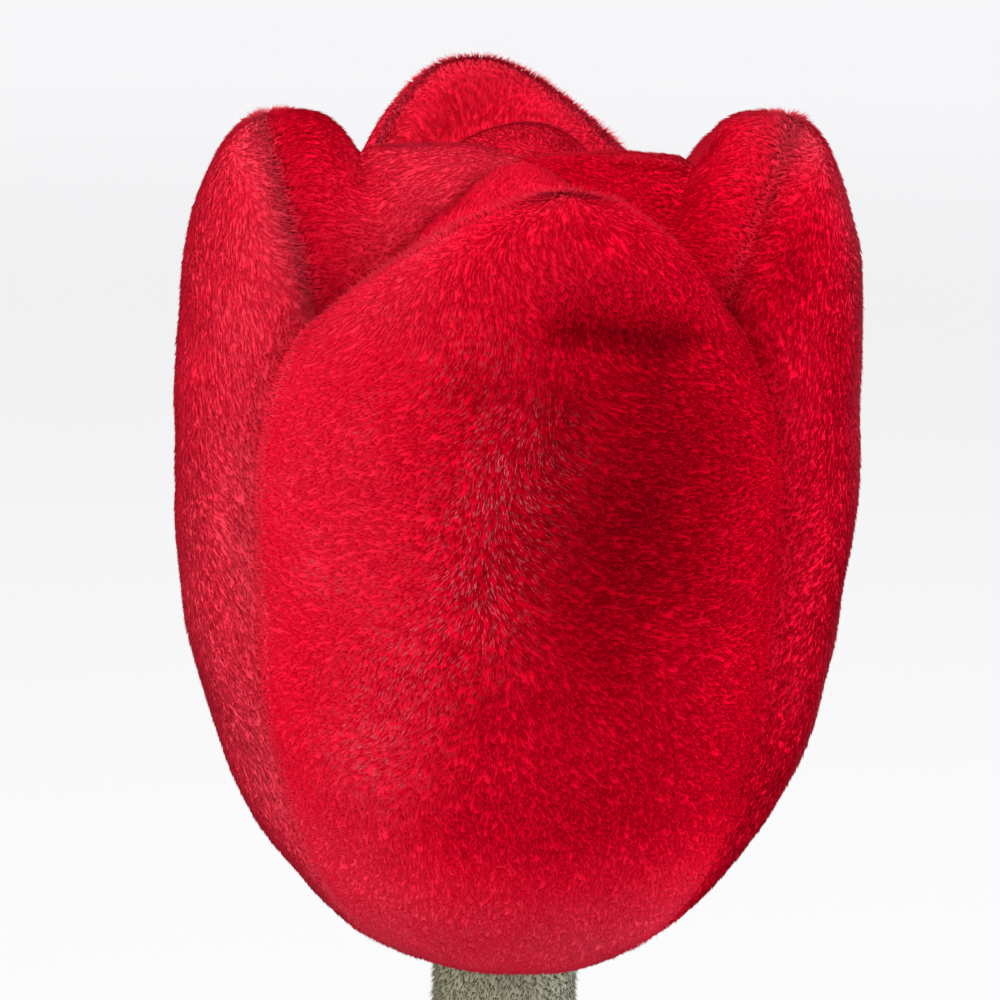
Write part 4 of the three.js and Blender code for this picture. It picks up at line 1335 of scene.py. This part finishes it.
def pot_cuff():
    inside = wall_radius(POT_WALL_TOP) + 0.3 * MM
    outside = CUFF_RADIUS
    lip = wall_radius(POT_WALL_TOP) - CUFF_LIP
    seat = soil_height(lip) + 0.3 * MM
    hem = CUFF_LOW + 5 * MM
    section = [
        (wall_radius(CUFF_LOW) + 0.6 * MM, CUFF_LOW + 0.8 * MM),
        (outside - 3.6 * MM, CUFF_LOW),
        (outside - 2.2 * MM, CUFF_LOW + 1.6 * MM),
        (outside - 2.6 * MM, hem),
        (outside - 0.4 * MM, hem + 3.6 * MM),
        (outside, mix(hem, CUFF_HIGH, 0.45)),
        (outside - 0.6 * MM, mix(hem, CUFF_HIGH, 0.7)),
        (outside - 2.2 * MM, CUFF_HIGH - 1.2 * MM),
        (inside - 0.4 * MM, CUFF_HIGH),
        (lip + 1.2 * MM, CUFF_HIGH - 1.4 * MM),
        (lip, CUFF_HIGH - 2.9 * MM),
        (lip + 1.1 * MM, seat),
        (SOIL_RADIUS, seat),
        (inside, POT_WALL_TOP + 0.3 * MM),
        (inside, POT_WALL_TOP - 3 * MM),
        (wall_radius(mix(CUFF_LOW, POT_WALL_TOP, 0.5)) + 0.3 * MM, mix(CUFF_LOW, POT_WALL_TOP, 0.5)),
    ]

    def place(u, v):
        angle = angle_at(u)
        radius, height = along_curve(section, v)
        spot = round_spot(angle, radius, height)
        shown = smooth_step(0.07, 0.13, v) * (1 - smooth_step(0.6, 0.68, v))
        slack = 0.6 * POT_SLACK * smooth_step(0.3, 0.36, v) * (1 - smooth_step(0.55, 0.62, v))
        lumps = shown * (0.7 * MM * drift(spot, 16 * MM, 80) + 0.25 * MM * drift(spot, 6 * MM, 81)) - slack
        tucks = 1.5 * MM * gathers(angle, seed=9, count=120) * fade(height - hem, 5.5 * MM) * shown
        top = 0.9 * MM * gathers(angle, seed=5, count=90) * smooth_step(0.48, 0.6, v)
        top *= 1 - smooth_step(0.66, 0.7, v)
        seam = 1.3 * MM * shown * fade(from_seam(u, radius), 1.8 * MM)
        return spot + round_spot(angle, 1, 0) * (lumps - tucks - seam) - Vector((0, 0, top))

    width = 2 * math.pi * CUFF_RADIUS
    material = canvas("woven_cotton_canvas_cuff", width, CUFF_SECTION_LENGTH)

    def sewn(u, v):
        seam = min(u, 1 - u) * width < 0.9 * MM
        stitched = 1 - smooth_step(0.012, 0.022, abs(v - HEM_SHARE))
        hidden = 1 - smooth_step(0.04, 0.08, v) * (1 - smooth_step(0.58, 0.64, v))
        return max(stitched, hidden, 0.85 * seam)

    bm = sheet_of(216, 72, place, plain_comb, around=True, closed=True, sewn=sewn)
    bmesh.ops.recalc_face_normals(bm, faces=bm.faces)
    plumped(bm, CANVAS_GROWTH, CUFF_CAP)
    spots = hem_spots(along_curve(section, HEM_SHARE)[1] - 0.3 * MM, BVHTree.FromBMesh(bm))
    thread_on(
        "pot_cuff_stitches",
        spots,
        body="pot",
        colour="#c99a78",
        length=2.3 * MM,
        thickness=0.6 * MM,
    )
    cloth_piece("pot_cuff", bm, 0, material)


def curl():
    """One loop of the soil's yarn, about a unit across, standing on its ends."""
    bm = bmesh.new()
    sides = bmesh.ops.create_circle(bm, cap_ends=True, segments=5, radius=0.3)["verts"]
    bmesh.ops.translate(bm, verts=sides, vec=(0.6, 0, 0))
    faces = bm.faces[:]
    bmesh.ops.spin(
        bm,
        geom=faces,
        cent=(0, 0, 0.1),
        axis=(0.3, -1, 0.1),
        dvec=(0, 0.035, 0),
        angle=math.radians(215),
        steps=9,
        use_duplicate=False,
    )
    bmesh.ops.recalc_face_normals(bm, faces=bm.faces)
    return strand("curl", bm)


def soil_top():
    hole = STEM_FOOT_RADIUS + 1.2 * MM

    def place(u, v):
        angle = angle_at(u)
        radius = mix(SOIL_RADIUS, hole, v)
        spot = round_spot(angle, radius, soil_height(radius) - 1.6 * MM)
        free = smooth_step(0, 0.15, v)
        spot.z += free * (0.8 * MM * drift(spot, 9 * MM, 90) + 0.3 * MM * drift(spot, 3 * MM, 91))
        return spot

    def comb(u, v, spot, out):
        tumble = Vector([drift(spot, 2 * MM, seed) for seed in (92, 93, 94)])
        return (out + tumble * 0.9).normalized(), CURL_SIZE, smooth_step(0, 0.02, v), 0.0, 1.0

    piece = plush(
        "soil_top",
        sheet_of(120, 24, place, comb, around=True),
        SOIL_BACKING,
        boucle(),
        item=curl(),
        per_mm2=CURLS,
        radius=CURL_SIZE,
        stray=0.5,
        lock=0.5,
        twist=math.pi,
        seed=900,
    )
    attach(piece, "pot")
    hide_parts("soil_top")


def boucle():
    # Curly boucle yarn, dark brown wool mix: soft loops with a twisted, slightly hairy thread, painted nearly
    # black where they sink into the backing as painted shade, and paler towards their tops as painted light.
    material, tree = fresh_material("curly_boucle_yarn")
    here = node(tree, "ShaderNodeTexCoord").outputs["Object"]
    fluff = node(tree, "ShaderNodeTexNoise", {}, {"Vector": here, "Scale": 1 / (0.5 * MM), "Detail": 3.0})
    shade = pile_colour_with_painted_shade(tree, fluff, "#2c1a12", "#4a2f22", "#6e4b36", most=1.7, low=0.65, high=1.35)
    raised = node(
        tree, "ShaderNodeBump", {}, {"Height": fluff.outputs["Fac"], "Strength": 0.5, "Distance": 0.2 * MM}
    )
    surface = node(
        tree,
        "ShaderNodeBsdfPrincipled",
        {},
        {
            "Base Color": shade,
            "Roughness": 0.9,
            "Specular IOR Level": 0.2,
            "Sheen Weight": 0.25,
            "Sheen Roughness": 0.5,
            "Normal": raised,
        },
    )
    node(tree, "ShaderNodeOutputMaterial", {}, {"Surface": surface})
    return material


def plain_soft(name, pale, deep, grain, roughness):
    """A soft inner material: one colour with grain of a given size in metres."""
    material, tree = fresh_material(name)
    here = node(tree, "ShaderNodeTexCoord").outputs["Object"]
    grains = node(tree, "ShaderNodeTexNoise", {}, {"Vector": here, "Scale": 1 / grain, "Detail": 5.0})
    colour = node(
        tree,
        "ShaderNodeMix",
        {"data_type": "RGBA"},
        {"Factor": grains.outputs["Fac"], 6: linear(deep), 7: linear(pale)},
    )
    raised = node(
        tree,
        "ShaderNodeBump",
        {},
        {"Height": grains.outputs["Fac"], "Strength": 0.5, "Distance": grain / 3},
    )
    surface = node(
        tree,
        "ShaderNodeBsdfPrincipled",
        {},
        {"Base Color": colour.outputs[2], "Roughness": roughness, "Normal": raised},
    )
    node(tree, "ShaderNodeOutputMaterial", {}, {"Surface": surface})
    return material


def stuffing(name, body, material, depth, size):
    """The soft thing inside, on its solid's own form, sunk in by lumps of a given depth and size."""
    bm = bmesh.new()
    bm.from_mesh(frame["nodes"][name].data)
    bmesh.ops.remove_doubles(bm, verts=bm.verts, dist=0.005 * MM)
    bmesh.ops.subdivide_edges(bm, edges=bm.edges[:], cuts=2, use_grid_fill=True)
    bm.normal_update()
    moves = [-corner.normal * depth * (0.5 + 0.5 * drift(corner.co, size, 50)) for corner in bm.verts]
    for corner, move in zip(bm.verts, moves):
        corner.co += move
    smooth_faces(bm)
    cloth_piece(name, bm, 0, material, body)


def insides():
    # Loose polyester fibre: white, matt, cloudy.
    fibre = plain_soft("loose_polyester_fibre", "#fbfaf6", "#dedbd2", 1.5 * MM, 0.95)
    stuffing("bloom_filling", "bloom", fibre, depth=1.2 * MM, size=9 * MM)
    stuffing("pot_filling", "pot", fibre, depth=1.0 * MM, size=9 * MM)
    for side in ("right", "left"):
        leaf = f"leaf_{side}"
        stuffing(leaf + "_wadding", leaf, fibre, depth=1.1 * MM, size=5 * MM)
    # Cut polyurethane foam: pale grey green, with open cells.
    foam = plain_soft("cut_polyurethane_foam", "#d9ddd5", "#aeb5aa", 0.5 * MM, 0.9)
    stuffing("stem_core", "stem", foam, depth=0.15 * MM, size=1 * MM)
    # Thin calico bag, undyed, over plastic beads.
    calico = plain_soft("undyed_calico", "#e8e2d4", "#c9c1ae", 0.6 * MM, 0.9)
    stuffing("bead_bag", "pot", calico, depth=1.2 * MM, size=3.2 * MM)
    # Stiff sheet of white polypropylene with a fine matt grain.
    board = plain_soft("matt_polypropylene_sheet", "#e9e9e7", "#dcdcda", 0.3 * MM, 0.5)
    for held in frame["nodes"]["base_board"].material_slots:
        held.material = board


# Studio
LAMP_AIM = Vector((0, 0, 0.2))
BACKDROP = "#f6f6f8"


def camera():
    """The photograph's view: from the front and a little above, leaning by a degree."""
    target = Vector((-2 * MM, 0, 238 * MM))
    elevation, roll, distance = math.radians(16), math.radians(1.2), 330 * MM
    back = Vector((0, -math.cos(elevation), math.sin(elevation)))
    level = Vector((1, 0, 0))
    up = back.cross(level)
    across = level * math.cos(roll) + up * math.sin(roll)
    upright = up * math.cos(roll) - level * math.sin(roll)
    data = bpy.data.cameras.new("camera")
    data.lens = 92.4
    data.sensor_width = 36
    data.clip_start = 0.01
    eye = placed("camera", data)
    facing = Matrix((across, upright, back)).transposed().to_4x4()
    eye.matrix_world = Matrix.Translation(target + back * distance) @ facing
    bpy.context.scene.camera = eye


def lamp(name, place, size, power, colour):
    """A round lamp, its place and size in metres and its power in watts, that is turned to the part's
    middle."""
    data = bpy.data.lights.new(name, "AREA")
    data.shape = "DISK"
    data.size = size
    data.energy = power
    data.color = linear(colour)[:3]
    made = placed(name, data)
    made.location = place
    made.rotation_euler = (LAMP_AIM - Vector(place)).to_track_quat("-Z", "Y").to_euler()


def studio():
    scene = bpy.context.scene
    scene.view_settings.view_transform = "Standard"
    lamp("key_lamp", (-1.0, -0.75, 0.85), 1.2, 15, "#fffaf4")
    lamp("top_lamp", (-0.1, 0.3, 1.4), 1.0, 10, "#ffffff")
    lamp("side_lamp", (1.05, -0.15, 0.5), 0.9, 11, "#f4f7ff")
    world = bpy.data.worlds.new("studio")
    scene.world = world
    world.use_nodes = True
    tree = world.node_tree
    tree.nodes.clear()
    light = node(tree, "ShaderNodeBackground", {}, {"Color": linear("#ffffff"), "Strength": 0.52})
    seen = node(tree, "ShaderNodeBackground", {}, {"Color": linear(BACKDROP), "Strength": 1.0})
    path = node(tree, "ShaderNodeLightPath")
    direct = node(
        tree,
        "ShaderNodeMath",
        {"operation": "MAXIMUM"},
        {0: path.outputs["Is Camera Ray"], 1: path.outputs["Is Glossy Ray"]},
    )
    either = node(
        tree,
        "ShaderNodeMath",
        {"operation": "MAXIMUM"},
        {0: direct, 1: path.outputs["Is Transmission Ray"]},
    )
    blend = node(tree, "ShaderNodeMixShader", {}, {0: either, 1: light, 2: seen})
    node(tree, "ShaderNodeOutputWorld", {}, {"Surface": blend})


def studio_floor():
    bm = bmesh.new()
    bmesh.ops.create_grid(bm, x_segments=1, y_segments=1, size=6)
    floor = object_of("floor", bm)
    bm.free()
    # Matt white board, which fades to the plain backdrop around the part.
    material, tree = fresh_material("matt_white_board")
    surface = node(tree, "ShaderNodeBsdfDiffuse", {}, {"Color": linear("#f2f2f2")})
    path = node(tree, "ShaderNodeLightPath")
    here = node(tree, "ShaderNodeTexCoord").outputs["Object"]
    reach = node(tree, "ShaderNodeVectorMath", {"operation": "LENGTH"}, {0: here})
    paper = node(
        tree,
        "ShaderNodeMapRange",
        {"interpolation_type": "SMOOTHSTEP"},
        {"Value": reach.outputs["Value"], "From Min": 0.3, "From Max": 2.5, "To Min": 0.75, "To Max": 1.0},
    )
    share = node(
        tree, "ShaderNodeMath", {"operation": "MULTIPLY"}, {0: path.outputs["Is Camera Ray"], 1: paper}
    )
    level = node(
        tree, "ShaderNodeMapRange", {}, {"Value": paper, "From Min": 0.75, "To Min": 0.955, "To Max": 1.0}
    )
    glow = node(tree, "ShaderNodeEmission", {}, {"Color": linear(BACKDROP), "Strength": level})
    blend = node(tree, "ShaderNodeMixShader", {}, {0: share, 1: surface, 2: glow})
    node(tree, "ShaderNodeOutputMaterial", {}, {"Surface": blend})
    floor.data.materials.append(material)


camera()
studio()
studio_floor()
one_hair = hair()
red = petal_plush()
for petal_name, petal in PETALS.items():
    petal_panel(f"petal_{petal_name}_outer", petal, False, red, one_hair)
    petal_panel(f"petal_{petal_name}_inner", petal, True, red, one_hair)
# The stem's grey green is its own colour, written a little darker as painted shade from the bloom above it.
stem_cover(short_plush("short_pile_plush_grey_green", "#84836c", "#5e5d48", "#a09f86"), one_hair)
green = short_plush("short_pile_plush_leaf_green", "#71835a", "#4a5a38", "#8fa077")
for leaf_name in LEAVES:
    leaf_face(leaf_name, 1, green, one_hair)
    leaf_face(leaf_name, -1, green, one_hair)
pot_side()
pot_base()
pot_cuff()
soil_top()
insides()
